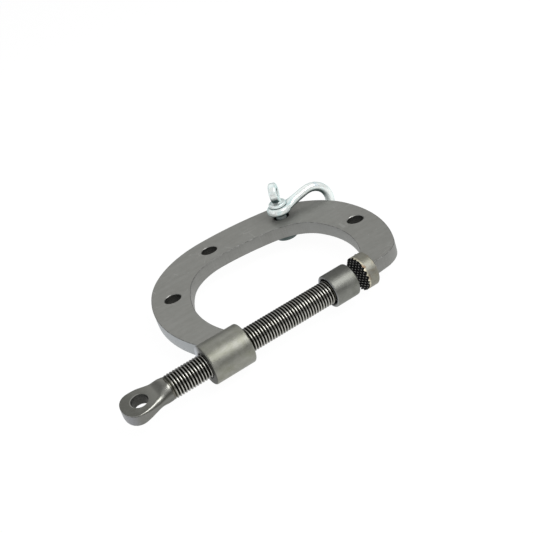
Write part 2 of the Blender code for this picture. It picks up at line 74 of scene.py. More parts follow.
# ---------------------------------------------------------------- driving sizes, millimetres
PLATE_LOW, PLATE_HIGH = box_mm("c_frame")
PLATE_T = PLATE_HIGH[2] - PLATE_LOW[2]
HALF = PLATE_T / 2
BOSS_X0, BOSS_X1 = (corner[0] for corner in box_mm("nut_boss"))
BOSS_R = 20.0
ANVIL_X1 = box_mm("anvil")[1][0]
ANVIL_R = 17.6
PAD_X0, PAD_X1 = (corner[0] for corner in box_mm("swivel_pad"))
PAD_R = 16.7
BALL_X = -19.5          # centre of the ball between the spindle nose and the pad
SEAT_R = 6.3            # radius of the two cups around that ball
EYE_X = -243.2          # hole of the spindle eye
EYE_TURN = 10.0         # degrees the eye is turned about X
THREAD_X0, THREAD_X1 = -213.4, -33.0


# ================================================================ node helpers
def feed(tree, socket, value):
    """Links an output to a socket, or sets a number, a vector or an opaque colour on it."""
    if isinstance(value, bpy.types.NodeSocket):
        tree.links.new(value, socket)
    elif socket.type == "RGBA":
        socket.default_value = (*value, 1.0)
    else:
        socket.default_value = value


def add_node(tree, kind, **inputs):
    """New node; an underscore in an argument stands for a space in the socket's name."""
    node = tree.nodes.new(kind)
    for name, value in inputs.items():
        feed(tree, node.inputs[name.replace("_", " ")], value)
    return node


def add_ramp(tree, value, stops):
    """Colour ramp; stops are (position, colour)."""
    node = add_node(tree, "ShaderNodeValToRGB", Fac=value)
    elements = node.color_ramp.elements
    while len(elements) < len(stops):
        elements.new(0.5)
    for element, (position, colour) in zip(elements, stops):
        element.position = position
        element.color = (*colour, 1.0)
    return node.outputs["Color"]


def add_colour_mix(tree, share, first, second):
    node = tree.nodes.new("ShaderNodeMix")
    node.data_type = "RGBA"
    # sockets 0, 6 and 7 are the factor and the two colours; output 2 is the colour
    for index, value in ((0, share), (6, first), (7, second)):
        feed(tree, node.inputs[index], value)
    return node.outputs[2]


class Mat:
    """Builds a procedural material on the object's coordinates (metres)."""

    def __init__(self, name, metallic):
        self.material = bpy.data.materials.new(name)
        self.material.use_nodes = True
        self.tree = self.material.node_tree
        self.bsdf = self.tree.nodes["Principled BSDF"]
        self.bsdf.inputs["Metallic"].default_value = metallic
        self.coord = self.node("ShaderNodeTexCoord").outputs["Object"]

    def node(self, kind, **inputs):
        return add_node(self.tree, kind, **inputs)

    def scaled(self, stretch, turn=0.0):
        """Object coordinates turned about Z (degrees) and scaled per axis."""
        return self.node("ShaderNodeMapping", Scale=stretch, Vector=self.coord,
                         Rotation=(0, 0, math.radians(turn))).outputs["Vector"]

    def noise(self, scale, detail=4.0, rough=0.6, vector=None, distortion=0.0):
        return self.node("ShaderNodeTexNoise", Scale=scale, Detail=detail, Roughness=rough,
                         Distortion=distortion, Vector=vector or self.coord).outputs["Fac"]

    def streaks(self, stretch, turn=0.0, detail=4.0, rough=0.6):
        """Noise drawn out along the axes with the smaller stretch."""
        return self.noise(1.0, detail, rough, self.scaled(stretch, turn))

    def cells(self, scale, stretch, turn=0.0, feature="F1"):
        node = self.node("ShaderNodeTexVoronoi", Scale=scale, Vector=self.scaled(stretch, turn))
        node.feature = feature
        return node.outputs["Distance"]

    def ramp(self, value, stops):
        return add_ramp(self.tree, value, stops)

    def calc(self, operation, *values, clamp=False):
        node = self.node("ShaderNodeMath")
        node.operation = operation
        node.use_clamp = clamp
        for socket, value in zip(node.inputs, values):
            feed(self.tree, socket, value)
        return node.outputs[0]

    def times(self, a, b, clamp=False):
        return self.calc("MULTIPLY", a, b, clamp=clamp)

    def plus(self, a, b, clamp=False):
        return self.calc("ADD", a, b, clamp=clamp)

    def minus(self, a, b, clamp=False):
        return self.calc("SUBTRACT", a, b, clamp=clamp)

    def below(self, value, limit):
        return self.calc("LESS_THAN", value, limit)

    def above(self, value, limit):
        return self.calc("GREATER_THAN", value, limit)

    def remap(self, value, span=(0.3, 0.7), to=(0.0, 1.0)):
        """Maps span onto to, clamped; the default span suits a noise."""
        return self.node("ShaderNodeMapRange", From_Min=span[0], From_Max=span[1],
                         To_Min=to[0], To_Max=to[1], Value=value).outputs["Result"]

    def mix(self, base, over, share):
        """Lays a colour over the base; share 1 covers it fully."""
        return add_colour_mix(self.tree, share, base, over)

    def layer(self, base, value, stops, share):
        return self.mix(base, self.ramp(value, stops), share)

    def bump(self, height, strength, distance, under=None):
        """Bump with its distance in metres, on top of an earlier normal if given."""
        inputs = {} if under is None else {"Normal": under}
        return self.node("ShaderNodeBump", Strength=strength, Distance=distance,
                         Height=height, **inputs).outputs["Normal"]

    def crevice(self, distance, span):
        """1 in the open, 0 in tight corners."""
        node = self.node("ShaderNodeAmbientOcclusion", Distance=distance)
        node.samples = 6
        return self.remap(node.outputs["AO"], span)

    def xyz(self, source=None):
        return self.node("ShaderNodeSeparateXYZ", Vector=source or self.coord).outputs

    def geometry(self, output):
        return self.node("ShaderNodeNewGeometry").outputs[output]

    def world_axis(self, axis):
        """World coordinate in mm, so painted light and shade can stay put while a piece turns under
        it.
        """
        return self.times(self.xyz(self.geometry("Position"))[axis], 1000.0)

    def object_normal(self, axis):
        return self.xyz(self.node("ShaderNodeTexCoord").outputs["Normal"])[axis]

    def normal_axis(self, axis, kind="Normal"):
        return self.xyz(self.geometry(kind))[axis]

    def distance(self, a, b):
        """Length of the vector (a, b)."""
        return self.calc("SQRT", self.plus(self.times(a, a), self.times(b, b)))

    def out(self, colour, rough, normal=None, **others):
        inputs = {"Base Color": colour, "Roughness": rough, **others}
        if normal is not None:
            inputs["Normal"] = normal
        for name, value in inputs.items():
            feed(self.tree, self.bsdf.inputs[name.replace("_", " ")], value)
        return self.material


# ================================================================ materials
def plate_face_material():
    """Ground plate: fine streaks, faint mottling, small pale pits and a few scratches."""
    mat = Mat("ground_plate", metallic=0.62)
    streak = mat.streaks((42, 1300, 1300), turn=8, detail=6, rough=0.62)
    cross_streak = mat.streaks((80, 2100, 2100), turn=-24, detail=5)
    band = mat.streaks((9, 120, 120), turn=8, detail=3, rough=0.5)
    cloud = mat.noise(24, detail=5, rough=0.62, distortion=0.4)
    mottle = mat.noise(170, rough=0.65)
    base = mat.ramp(cloud, [
        (0.30, (0.286, 0.288, 0.259)), (0.55, (0.336, 0.337, 0.310)),
        (0.78, (0.376, 0.375, 0.355))])
    base = mat.layer(base, streak, [
        (0.30, (0.223, 0.225, 0.203)), (0.52, (0.336, 0.337, 0.312)),
        (0.72, (0.480, 0.477, 0.458))], share=0.38)
    base = mat.layer(base, cross_streak, [
        (0.35, (0.234, 0.235, 0.214)), (0.6, (0.354, 0.354, 0.332)),
        (0.76, (0.469, 0.469, 0.447))], share=0.22)
    base = mat.layer(base, band, [
        (0.35, (0.256, 0.257, 0.233)), (0.65, (0.409, 0.409, 0.387))], share=0.20)
    base = mat.layer(base, mottle, [
        (0.35, (0.251, 0.252, 0.227)), (0.65, (0.403, 0.403, 0.382))], share=0.16)
    pit_colour, scratch_colour = (0.50, 0.50, 0.48), (0.55, 0.55, 0.53)
    pit = mat.times(mat.below(mat.cells(420.0, stretch=(1, 1, 1)), limit=0.13),
                    mat.above(mat.noise(70, detail=2, rough=0.55), limit=0.60))
    base = mat.mix(base, pit_colour, share=mat.times(pit, 0.45))
    crack = mat.cells(1.0, stretch=(26, 60, 60), turn=22, feature="DISTANCE_TO_EDGE")
    scratch = mat.times(mat.below(crack, limit=0.012),
                        mat.above(mat.noise(38, detail=3, rough=0.55), limit=0.56))
    base = mat.mix(base, scratch_colour, share=mat.times(scratch, 0.30))
    rough = mat.plus(mat.remap(streak, to=(0.43, 0.56)), mat.remap(cloud, to=(-0.03, 0.03)))
    normal = mat.bump(streak, strength=0.22, distance=0.00012)
    normal = mat.bump(mottle, strength=0.12, distance=0.00020, under=normal)
    return mat.out(base, rough, normal)


def cut_side_material():
    """Flame-cut side: drag lines through the thickness, with painted bluish light on faces turned
    to -X at that end.
    """
    mat = Mat("cut_side", metallic=0.66)
    drag = mat.streaks((1200, 1200, 45), detail=5)
    along = mat.streaks((110, 110, 2200))
    base = mat.ramp(mat.noise(35), [(0.3, (0.245, 0.246, 0.228)), (0.7, (0.315, 0.316, 0.298))])
    base = mat.layer(base, drag, [
        (0.32, (0.185, 0.186, 0.172)), (0.52, (0.285, 0.286, 0.272)),
        (0.72, (0.40, 0.402, 0.39))], share=0.40)
    base = mat.layer(base, along, [
        (0.35, (0.20, 0.201, 0.188)), (0.65, (0.335, 0.336, 0.322))], share=0.25)
    # painted light: faces turned to -X at that end get a pale bluish colour standing in for light
    # from the left
    painted_left_light_colour = (0.50, 0.525, 0.545)
    painted_light_minus_x = mat.times(mat.remap(mat.normal_axis(0), span=(-0.45, -0.95), to=(0.0, 0.85)),
                     mat.remap(drag, to=(0.75, 1.0)), clamp=True)
    painted_light_minus_x = mat.times(painted_light_minus_x, mat.remap(mat.xyz()[0], span=(-0.09, -0.14), to=(0.10, 1.0)))
    base = mat.mix(base, painted_left_light_colour, share=painted_light_minus_x)
    normal = mat.bump(drag, strength=0.30, distance=0.00018)
    normal = mat.bump(along, strength=0.15, distance=0.00012, under=normal)
    return mat.out(base, mat.remap(drag, to=(0.40, 0.55)), normal)


def grain_material(name, metallic, grain, stops, rough, strength, distance, stretch=None):
    """Plain metal: one noise, stretched if asked, drives both the colour and the bump."""
    mat = Mat(name, metallic)
    value = mat.streaks(stretch) if stretch else mat.noise(**grain)
    return mat.out(mat.ramp(value, stops), rough, mat.bump(value, strength, distance))


def edge_material():
    """Broken edge of the plate: darker than the faces, with small bright nicks."""
    return grain_material(
        "plate_edge", metallic=0.75, grain=dict(scale=260, detail=5, rough=0.65),
        stops=[(0.36, (0.150, 0.151, 0.143)), (0.52, (0.235, 0.236, 0.226)),
               (0.70, (0.38, 0.38, 0.37))],
        rough=0.44, strength=0.20, distance=0.0002)


def bore_material():
    """Drilled wall, near-black as painted shade in the hole, with fine rings across Z."""
    return grain_material(
        "drilled_bore", metallic=0.6, grain=None, stretch=(90, 90, 2600),
        stops=[(0.3, (0.020, 0.020, 0.018)), (0.7, (0.055, 0.055, 0.050))],
        rough=0.5, strength=0.3, distance=0.0001)


def dark_eye_bore_material():
    # dark wall and chamfer of the eye's hole
    return grain_material(
        "dark_eye_bore", metallic=0.8, grain=dict(scale=420),
        stops=[(0.3, (0.040, 0.040, 0.036)), (0.7, (0.088, 0.088, 0.080))],
        rough=0.42, strength=0.2, distance=0.0001)


def chamfer_material():
    return grain_material(
        "bright_chamfer", metallic=0.85, grain=dict(scale=600, detail=3),
        stops=[(0.3, (0.26, 0.26, 0.245)), (0.7, (0.42, 0.42, 0.40))],
        rough=0.34, strength=0.15, distance=0.0001)


def spring_material():
    return grain_material(
        "phosphated_spring", metallic=0.7, grain=dict(scale=900, rough=0.65),
        stops=[(0.3, (0.030, 0.030, 0.032)), (0.7, (0.075, 0.075, 0.078))],
        rough=0.45, strength=0.2, distance=0.0001)


def blasted_material(name, tint, rough_low, crevice, back_span, back_shade, end=None):
    """Turned, lightly blasted steel: even grain, cloudy patches; painted light, shade and
    highlights on -X faces, painted shade in corners and towards +Y.

    back_span is the world y (mm) over which painted shade darkens it by back_shade towards +Y.
    """
    mat = Mat(name, metallic=0.86)
    grain = mat.noise(1500, detail=3)
    turning = mat.streaks((2600, 60, 60), detail=3, rough=0.5)
    cloud = mat.noise(105, detail=5, rough=0.66, distortion=0.3)
    stain = mat.noise(42, detail=6, rough=0.7, distortion=0.6)

    def tone(value):
        return tuple(value * channel for channel in tint)
    base = mat.ramp(cloud, [(0.28, tone(0.225)), (0.50, tone(0.298)), (0.74, tone(0.385))])
    base = mat.layer(base, grain, [(0.35, tone(0.205)), (0.65, tone(0.395))], share=0.22)
    base = mat.layer(base, turning, [(0.35, tone(0.235)), (0.65, tone(0.370))], share=0.08)
    stain_colour = tuple(c * k for c, k in zip(tone(0.200), (1.0, 1.02, 0.82)))
    base = mat.mix(base, stain_colour, share=mat.remap(stain, (0.48, 0.68), to=(0.0, 0.60)))
    painted_end_shade, painted_end_light = (0.055, 0.056, 0.051), (0.66, 0.68, 0.71)
    shadow, painted_corner_shade, painted_facet_highlight = (0.010, 0.010, 0.009), (0.014, 0.014, 0.012), (
        0.62, 0.645, 0.69)
    # painted light and shade on faces turned to -X: unless end is given, dark towards -Y beside the
    # thread and pale bluish towards +Y
    painted_light_minus_x = mat.remap(mat.normal_axis(0), span=(-0.55, -0.92), to=(0.0, 0.85))
    if end is None:
        end = mat.mix(painted_end_shade, painted_end_light, share=mat.remap(mat.world_axis(1), (1.0, 9.0)))
    base = mat.mix(base, end, share=painted_light_minus_x)
    # painted shade towards +Y, fixed in world space
    base = mat.mix(base, shadow,
                   share=mat.remap(mat.world_axis(1), back_span, to=(0.0, back_shade)))
    # painted shade in corners and next to the thread, from ambient occlusion
    base = mat.mix(base, painted_corner_shade,
                   share=mat.minus(1.0, mat.crevice(crevice, span=(0.30, 0.85))))
    # painted highlight: parts facing -X high on the +Y side are made pale as if catching the light
    facet = mat.times(mat.remap(mat.normal_axis(0), span=(-0.45, -0.85), to=(0.0, 0.9)),
                      mat.remap(mat.world_axis(1), span=(9.0, 13.5)))
    base = mat.mix(base, painted_facet_highlight, share=facet)
    rough = mat.plus(mat.remap(grain, to=(rough_low, rough_low + 0.06)),
                     mat.remap(cloud, to=(-0.04, 0.05)))
    normal = mat.bump(grain, strength=0.10, distance=0.00006)
    normal = mat.bump(cloud, strength=0.06, distance=0.0004, under=normal)
    return mat.out(base, rough, normal)


def thread_material():
    """Cut thread: oily roots, worn bright crests, rust-brown spots, painted shade towards +Y and
    low down.
    """
    mat = Mat("cut_thread", metallic=0.95)
    _, y, z = mat.xyz()
    radius = mat.times(mat.distance(y, z), 1000.0)
    wear = mat.noise(150)
    worn_radius = mat.plus(radius, mat.remap(wear, to=(-0.015, 0.015)))
    root_to_crest = mat.remap(worn_radius, span=(10.1, 12.1))
    base = mat.ramp(root_to_crest, [
        (0.0, (0.020, 0.021, 0.013)), (0.34, (0.040, 0.041, 0.028)),
        (0.60, (0.095, 0.095, 0.074)), (0.80, (0.260, 0.256, 0.226)),
        (0.93, (0.600, 0.592, 0.545)), (1.0, (0.720, 0.712, 0.660))])
    rust, shadow = (0.110, 0.066, 0.034), (0.008, 0.008, 0.006)
    spot = mat.noise(95, detail=5, rough=0.7)
    base = mat.mix(base, rust, share=mat.remap(spot, (0.60, 0.72), to=(0.0, 0.55)))
    # painted shade towards +Y and on the lower side, fixed in world space
    back = mat.remap(mat.world_axis(1), span=(-7.8, 1.5), to=(0.0, 0.76))
    base = mat.mix(base, shadow, share=back)
    low = mat.remap(mat.world_axis(2), span=(7.0, 2.5), to=(0.0, 0.18))
    base = mat.mix(base, shadow, share=low)
    rough = mat.remap(worn_radius, span=(10.3, 11.8), to=(0.40, 0.17))
    scratch = mat.streaks((500, 160, 160))
    return mat.out(base, rough, mat.bump(scratch, strength=0.015, distance=0.00005))


def forging_material():
    """Dark satin forging of the spindle eye, brighter along worn edges; painted highlights and
    shade on its fillets and hole rim, painted light on its sides and faces turned to -X.
    """
    mat = Mat("eye_forging", metallic=0.85)
    cloud = mat.noise(45, detail=6, rough=0.62)
    fine = mat.noise(520, rough=0.65)
    streak = mat.streaks((160, 900, 900), detail=5)
    worn = mat.remap(mat.geometry("Pointiness"), span=(0.505, 0.540))
    base = mat.ramp(cloud, [
        (0.3, (0.108, 0.109, 0.092)), (0.55, (0.146, 0.147, 0.126)),
        (0.75, (0.196, 0.196, 0.172))])
    base = mat.layer(base, streak, [
        (0.35, (0.120, 0.121, 0.110)), (0.65, (0.255, 0.256, 0.240))], share=0.30)
    base = mat.layer(base, fine, [
        (0.35, (0.12, 0.12, 0.108)), (0.65, (0.27, 0.27, 0.255))], share=0.20)
    worn_edge_and_rim_highlight, painted_side_light, fillet_shade = (0.40, 0.40, 0.37), (0.34, 0.34, 0.325), (
        0.050, 0.050, 0.040)
    painted_fillet_highlight, painted_left_light_tone = (0.46, 0.46, 0.42), (0.30, 0.305, 0.33)
    flat_light, flat_dark = (0.260, 0.261, 0.235), (0.070, 0.071, 0.058)
    base = mat.mix(base, worn_edge_and_rim_highlight, share=mat.times(worn, 0.30, clamp=True))

    # normal in the eye's own frame: across its width and through its flat
    turn = math.radians(EYE_TURN)

    def across_eye(y, z):
        return mat.plus(mat.times(y, math.cos(turn)), mat.times(z, math.sin(turn)))
    normal_y, normal_z = mat.object_normal(1), mat.object_normal(2)
    wide = across_eye(normal_y, normal_z)
    thick = mat.minus(mat.times(normal_z, math.cos(turn)), mat.times(normal_y, math.sin(turn)))
    fillet = mat.below(mat.times(wide, thick), limit=0.0)
    wide, thick = mat.calc("ABSOLUTE", wide), mat.calc("ABSOLUTE", thick)
    # painted highlight on the near-upper and far-lower fillets, where the key light would glint
    painted_highlight_share = mat.times(mat.remap(wide, (0.20, 0.42)), mat.remap(thick, (0.40, 0.56)))
    painted_highlight_share = mat.times(painted_highlight_share, fillet)
    # painted shade in a band just past the fillet highlight
    shade = mat.times(mat.remap(thick, (0.50, 0.38)), mat.remap(thick, (0.08, 0.24)))
    # painted light: the side walls are made paler
    base = mat.mix(base, painted_side_light, share=mat.remap(thick, (0.30, 0.05), to=(0.0, 0.30)))
    base = mat.mix(base, fillet_shade, share=mat.times(mat.times(shade, fillet), 0.50))
    base = mat.mix(base, painted_fillet_highlight, share=mat.times(painted_highlight_share, 0.75))
    # painted bluish light on faces turned to -X
    painted_light_minus_x = mat.times(mat.remap(mat.normal_axis(0), span=(-0.25, -0.85), to=(0.0, 0.7)),
                     mat.remap(thick, (0.45, 0.25)))
    base = mat.mix(base, painted_left_light_tone, share=painted_light_minus_x)

    # the flat is lighter towards the neck and darker towards the tip
    x, y, z = mat.xyz()
    flat = mat.remap(thick, (0.80, 0.93))
    to_neck = mat.remap(x, (-0.240, -0.226), to=(0.0, 0.75))
    base = mat.mix(base, flat_light, share=mat.times(flat, to_neck))
    to_tip = mat.remap(x, (-0.244, -0.252), to=(0.0, 0.30))
    base = mat.mix(base, flat_dark, share=mat.times(flat, to_tip))
    # painted highlight on the hole's rim, on its -X, +Y side
    across = across_eye(y, z)
    along = mat.plus(x, -EYE_X * MM)
    rim = mat.times(mat.remap(mat.distance(across, along), (0.0094, 0.0086)),
                    mat.remap(mat.minus(across, along), (0.002, 0.007)))
    base = mat.mix(base, worn_edge_and_rim_highlight, share=mat.times(mat.times(rim, flat), 0.75))
    normal = mat.bump(fine, strength=0.12, distance=0.00010)
    normal = mat.bump(cloud, strength=0.15, distance=0.0005, under=normal)
    rough = mat.minus(mat.remap(fine, to=(0.30, 0.38)), mat.times(painted_highlight_share, 0.06))
    return mat.out(base, rough, normal)


def jaw_material():
    """Hardened anvil: straw tint on the rim, black in the teeth, bright tooth tips."""
    mat = Mat("hardened_jaw", metallic=0.88)
    x_mm = mat.times(mat.xyz()[0], 1000.0)
    cloud = mat.noise(85, detail=5, rough=0.65)
    grain = mat.noise(1300, detail=3)
    base = mat.ramp(cloud, [
        (0.28, (0.240, 0.235, 0.182)), (0.52, (0.320, 0.316, 0.262)),
        (0.75, (0.400, 0.400, 0.365))])
    base = mat.layer(base, grain, [
        (0.35, (0.20, 0.195, 0.17)), (0.65, (0.37, 0.365, 0.34))], share=0.2)
    temper, tooth_root, tooth_tip = (0.250, 0.150, 0.072), (0.012, 0.012, 0.013), (
        0.42, 0.42, 0.40)
    straw, burnt = (0.85, 0.80, 0.62), (0.17, 0.085, 0.035)
    tint = mat.noise(60, distortion=0.8)
    base = mat.mix(base, temper, share=mat.remap(tint, (0.56, 0.70), to=(0.0, 0.55)))
    face = mat.below(mat.normal_axis(0, "True Normal"), limit=-0.2)
    teeth = mat.times(face, mat.below(x_mm, limit=2.0))
    tip_x = mat.plus(x_mm, mat.remap(grain, to=(-0.05, 0.05)))
    tips = mat.remap(tip_x, span=(0.05, 0.55), to=(1.0, 0.0))
    tooth_colour = mat.mix(tooth_root, tooth_tip, share=mat.times(tips, 1.0, clamp=True))
    base = mat.mix(base, tooth_colour, share=teeth)
    side = mat.minus(1.0, face)
    rim_x = mat.plus(x_mm, mat.remap(tint, to=(-0.8, 0.8)))
    rim = mat.times(side, mat.remap(rim_x, span=(1.4, 3.4), to=(1.0, 0.0)))
    base = mat.mix(base, straw, share=mat.times(rim, 0.9))
    burn = mat.times(mat.remap(mat.noise(120), span=(0.53, 0.62), to=(0.0, 0.8)),
                     mat.times(side, mat.remap(x_mm, span=(2.0, 6.0), to=(1.0, 0.0))))
    base = mat.mix(base, burnt, share=burn)
    rough = mat.plus(mat.remap(cloud, to=(0.44, 0.54)), mat.times(teeth, 0.05))
    return mat.out(base, rough, mat.bump(grain, strength=0.15, distance=0.00008))


def weld_material():
    """Weld metal: grey, clouded, with brown heat tint in places."""
    mat = Mat("weld_bead", metallic=0.8)
    cloud = mat.noise(120, detail=5, rough=0.65)
    brown = (0.17, 0.13, 0.11)
    base = mat.ramp(cloud, [(0.3, (0.21, 0.212, 0.212)), (0.7, (0.345, 0.35, 0.36))])
    base = mat.mix(base, brown, share=mat.remap(mat.noise(55), (0.55, 0.72), to=(0, 0.6)))
    return mat.out(base, 0.42, mat.bump(cloud, strength=0.3, distance=0.0003))


def zinc_material(name, hollow):
    """Bright zinc plate: white, teal towards grazing view, painted dark teal shade below, in
    creases, in wide hollows and low down under the plate.

    hollow is how strongly painted shade darkens wide hollows.
    """
    mat = Mat(name, metallic=0.35)
    tint = mat.noise(110, distortion=0.6)
    lump = mat.noise(150, detail=3, rough=0.5)
    fine = mat.noise(900, detail=3)
    base = mat.ramp(tint, [
        (0.25, (0.66, 0.84, 0.85)), (0.42, (0.88, 0.98, 0.96)),
        (0.58, (0.97, 1.0, 0.965)), (0.76, (0.72, 0.84, 0.91))])
    base = mat.layer(base, fine, [
        (0.35, (0.70, 0.74, 0.74)), (0.65, (0.99, 1.0, 1.0))], share=0.10)
    teal, painted_shade_teal = (0.34, 0.60, 0.59), (0.030, 0.060, 0.058)
    facing = mat.node("ShaderNodeLayerWeight", Blend=0.40).outputs["Facing"]
    base = mat.mix(base, teal, share=mat.remap(facing, (0.38, 0.84), to=(0.0, 0.78)))
    # painted shade: dark teal where faces turn down, in creases, in wide hollows and low down under
    # the plate
    under = mat.remap(mat.normal_axis(2), span=(0.0, -0.42))
    crease = mat.minus(1.0, mat.crevice(0.0045, span=(0.28, 0.66)))
    inside = mat.times(mat.minus(1.0, mat.crevice(0.018, span=(0.30, 0.78))), hollow)
    low = mat.remap(mat.world_axis(2), span=(-7.5, -10.5), to=(0.0, 0.90))
    dark = mat.times(under, 0.96)
    painted_recess_shade = mat.calc("MAXIMUM", crease, mat.calc("MAXIMUM", inside, low))
    dark = mat.calc("MAXIMUM", dark, painted_recess_shade)
    dark = mat.plus(dark, mat.remap(tint, to=(-0.05, 0.05)), clamp=True)
    base = mat.mix(base, painted_shade_teal, share=dark)
    normal = mat.bump(lump, strength=0.22, distance=0.0006)
    normal = mat.bump(fine, strength=0.03, distance=0.00006, under=normal)
    return mat.out(
        base, mat.plus(mat.remap(lump, to=(0.20, 0.30)), mat.times(dark, 0.3)), normal,
        Metallic=mat.minus(0.35, mat.times(dark, 0.33)),
        # a little self-light stands in for the white tent a plated part mirrors
        Emission_Color=base,
        Emission_Strength=mat.times(mat.minus(1.0, dark, clamp=True), 0.12),
        Specular_IOR_Level=mat.minus(0.55, mat.times(dark, 0.45)))


def ball_material():
    mat = Mat("polished_ball", metallic=1.0)
    smear = mat.noise(150)
    base = mat.ramp(smear, [(0.3, (0.45, 0.44, 0.40)), (0.7, (0.62, 0.62, 0.60))])
    return mat.out(base, mat.remap(smear, to=(0.08, 0.20)))


PLATE = plate_face_material()
CUT = cut_side_material()
EDGE = edge_material()
BORE = bore_material()
BLAST = blasted_material(
    "blasted_boss", tint=(1.075, 1.08, 0.955), rough_low=0.42, crevice=0.005,
    back_span=(-5.0, 3.0), back_shade=0.22)
# the pad's faces turned to -X take one pale colour as painted light
BLAST_PAD = blasted_material(
    "blasted_pad", tint=(0.81, 0.825, 0.75), rough_low=0.43, crevice=0.003,
    back_span=(-10.5, -4.0), back_shade=0.46, end=(0.42, 0.43, 0.43))
THREAD = thread_material()
FORGED = forging_material()
JAW = jaw_material()
WELD = weld_material()
EYE_BORE = dark_eye_bore_material()
ZINC = zinc_material("bright_zinc", hollow=0.9)
BALL = ball_material()
SPRING = spring_material()
ZINC_SHANK = zinc_material("bright_zinc_shank", hollow=0.6)


# ================================================================ mesh helpers
WELD_DISTANCE = 2e-4        # mm within which vertices are joined
FLAT_DISTANCE = 1e-5        # mm below which an edge counts as collapsed


def clamp(value):
    return max(0.0, min(1.0, value))


def join_doubles(shape, drop_degenerate=True):
    bmesh.ops.remove_doubles(shape, verts=shape.verts, dist=WELD_DISTANCE)
    if drop_degenerate:
        bmesh.ops.dissolve_degenerate(shape, edges=shape.edges, dist=FLAT_DISTANCE)


def link_shape(name, shape):
    """Turns a bmesh in millimetres into a linked object in metres."""
    bmesh.ops.recalc_face_normals(shape, faces=shape.faces)
    bmesh.ops.scale(shape, vec=(MM, MM, MM), verts=shape.verts)
    mesh = bpy.data.meshes.new(name)
    shape.to_mesh(mesh)
    shape.free()
    piece = bpy.data.objects.new(name, mesh)
    bpy.context.scene.collection.objects.link(piece)
    return piece


def to_object(name, shape, materials, smooth=35.0):
    """smooth is the angle in degrees above which an edge stays sharp."""
    join_doubles(shape)
    piece = link_shape(name, shape)
    for material in materials:
        piece.data.materials.append(material)
    sharpen(piece, smooth)
    return piece


def sharpen(piece, degrees):
    piece.data.set_sharp_from_angle(angle=math.radians(degrees))


def assign(piece, body, slot, *stands_for):
    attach(piece, body)
    if stands_for:
        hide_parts(*stands_for)


def apply_modifiers(piece):
    bpy.context.view_layer.update()
    depsgraph = bpy.context.evaluated_depsgraph_get()
    mesh = bpy.data.meshes.new_from_object(piece.evaluated_get(depsgraph))
    old = piece.data
    piece.modifiers.clear()
    piece.data = mesh
    bpy.data.meshes.remove(old)


def cut(piece, shape):
    """Subtracts a bmesh from a piece."""
    join_doubles(shape, drop_degenerate=False)
    cutter = link_shape("operand", shape)
    modifier = piece.modifiers.new("cut", "BOOLEAN")
    modifier.operation = "DIFFERENCE"
    modifier.solver = "EXACT"
    modifier.object = cutter
    apply_modifiers(piece)
    mesh = cutter.data
    bpy.data.objects.remove(cutter, do_unlink=True)
    bpy.data.meshes.remove(mesh)


def soften(piece, voxel, iterations):
    """Remeshes a piece and smooths it like a forging; voxel in millimetres."""
    modifier = piece.modifiers.new("remesh", "REMESH")
    modifier.mode = "VOXEL"
    modifier.voxel_size = voxel * MM
    modifier = piece.modifiers.new("smooth", "SMOOTH")
    modifier.factor = 0.5
    modifier.iterations = iterations
    apply_modifiers(piece)


def set_materials(piece, *materials):
    piece.data.materials.clear()
    for material in materials:
        piece.data.materials.append(material)


def finish_soft(piece, sharp, *materials):
    """Shades a softened piece smooth up to the sharp angle and sets its materials."""
    for face in piece.data.polygons:
        face.use_smooth = True
    set_materials(piece, *materials)
    sharpen(piece, sharp)


def revolve(profile, segments, closed=False):
    """Turns (x, radius[, material slot]) points about X."""
    shape = bmesh.new()
    rings = []
    for x, radius, *_ in profile:
        if radius < 1e-6:
            rings.append([shape.verts.new((x, 0, 0))])
            continue
        angles = [math.tau * j / segments for j in range(segments)]
        rings.append([shape.verts.new((x, radius * math.cos(a), radius * math.sin(a)))
                      for a in angles])
    pairs = list(zip(range(len(rings) - 1), range(1, len(rings))))
    if closed:
        pairs.append((len(rings) - 1, 0))
    for first, second in pairs:
        near, far = rings[first], rings[second]
        slot = profile[first][2] if len(profile[first]) > 2 else 0
        if len(near) == 1 and len(far) == 1:
            continue
        for j in range(segments):
            k = (j + 1) % segments
            if len(near) == 1:
                corners = (near[0], far[j], far[k])
            elif len(far) == 1:
                corners = (near[j], far[0], near[k])
            else:
                corners = (near[j], far[j], far[k], near[k])
            face = shape.faces.new(corners)
            face.material_index = slot
            face.smooth = True
    return shape


def bridge(shape, first, second, slot=0, smooth=True):
    """Joins two closed rings of vertices with quads."""
    for i in range(len(first)):
        j = (i + 1) % len(first)
        face = shape.faces.new((first[i], first[j], second[j], second[i]))
        face.material_index = slot
        face.smooth = smooth


def loft(shape, rings):
    """Skins a row of rings and closes both ends."""
    for first, second in zip(rings, rings[1:]):
        bridge(shape, first, second)
    shape.faces.new(rings[0])
    shape.faces.new(rings[-1][::-1])


def stand_up(shape):
    """Turns the X axis onto Z."""
    turn = Vector((1, 0, 0)).rotation_difference(Vector((0, 0, 1)))
    bmesh.ops.transform(shape, matrix=turn.to_matrix().to_4x4(), verts=shape.verts)
    return shape


def move(shape, offset):
    bmesh.ops.translate(shape, vec=Vector(offset), verts=shape.verts)
    return shape


def spin(shape, degrees, axis="X"):
    turn = Matrix.Rotation(math.radians(degrees), 4, axis)
    bmesh.ops.transform(shape, matrix=turn, verts=shape.verts)
    return shape


def arc(centre_x, centre_r, radius, start, end, steps=8, slot=0):
    """Profile points on an arc; angles in degrees from +X."""
    angles = [math.radians(start + (end - start) * i / steps) for i in range(steps + 1)]
    return [(centre_x + radius * math.cos(a), centre_r + radius * math.sin(a), slot)
            for a in angles]


def ball_seat(side, depth, steps, slot=0):
    """Cup around the ball from its mouth to the axis; depth is from the centre to the mouth."""
    mouth = math.acos(depth / SEAT_R)
    angles = [mouth * (1 - i / steps) for i in range(steps + 1)]
    return [(BALL_X + side * SEAT_R * math.cos(a), SEAT_R * math.sin(a), slot) for a in angles]


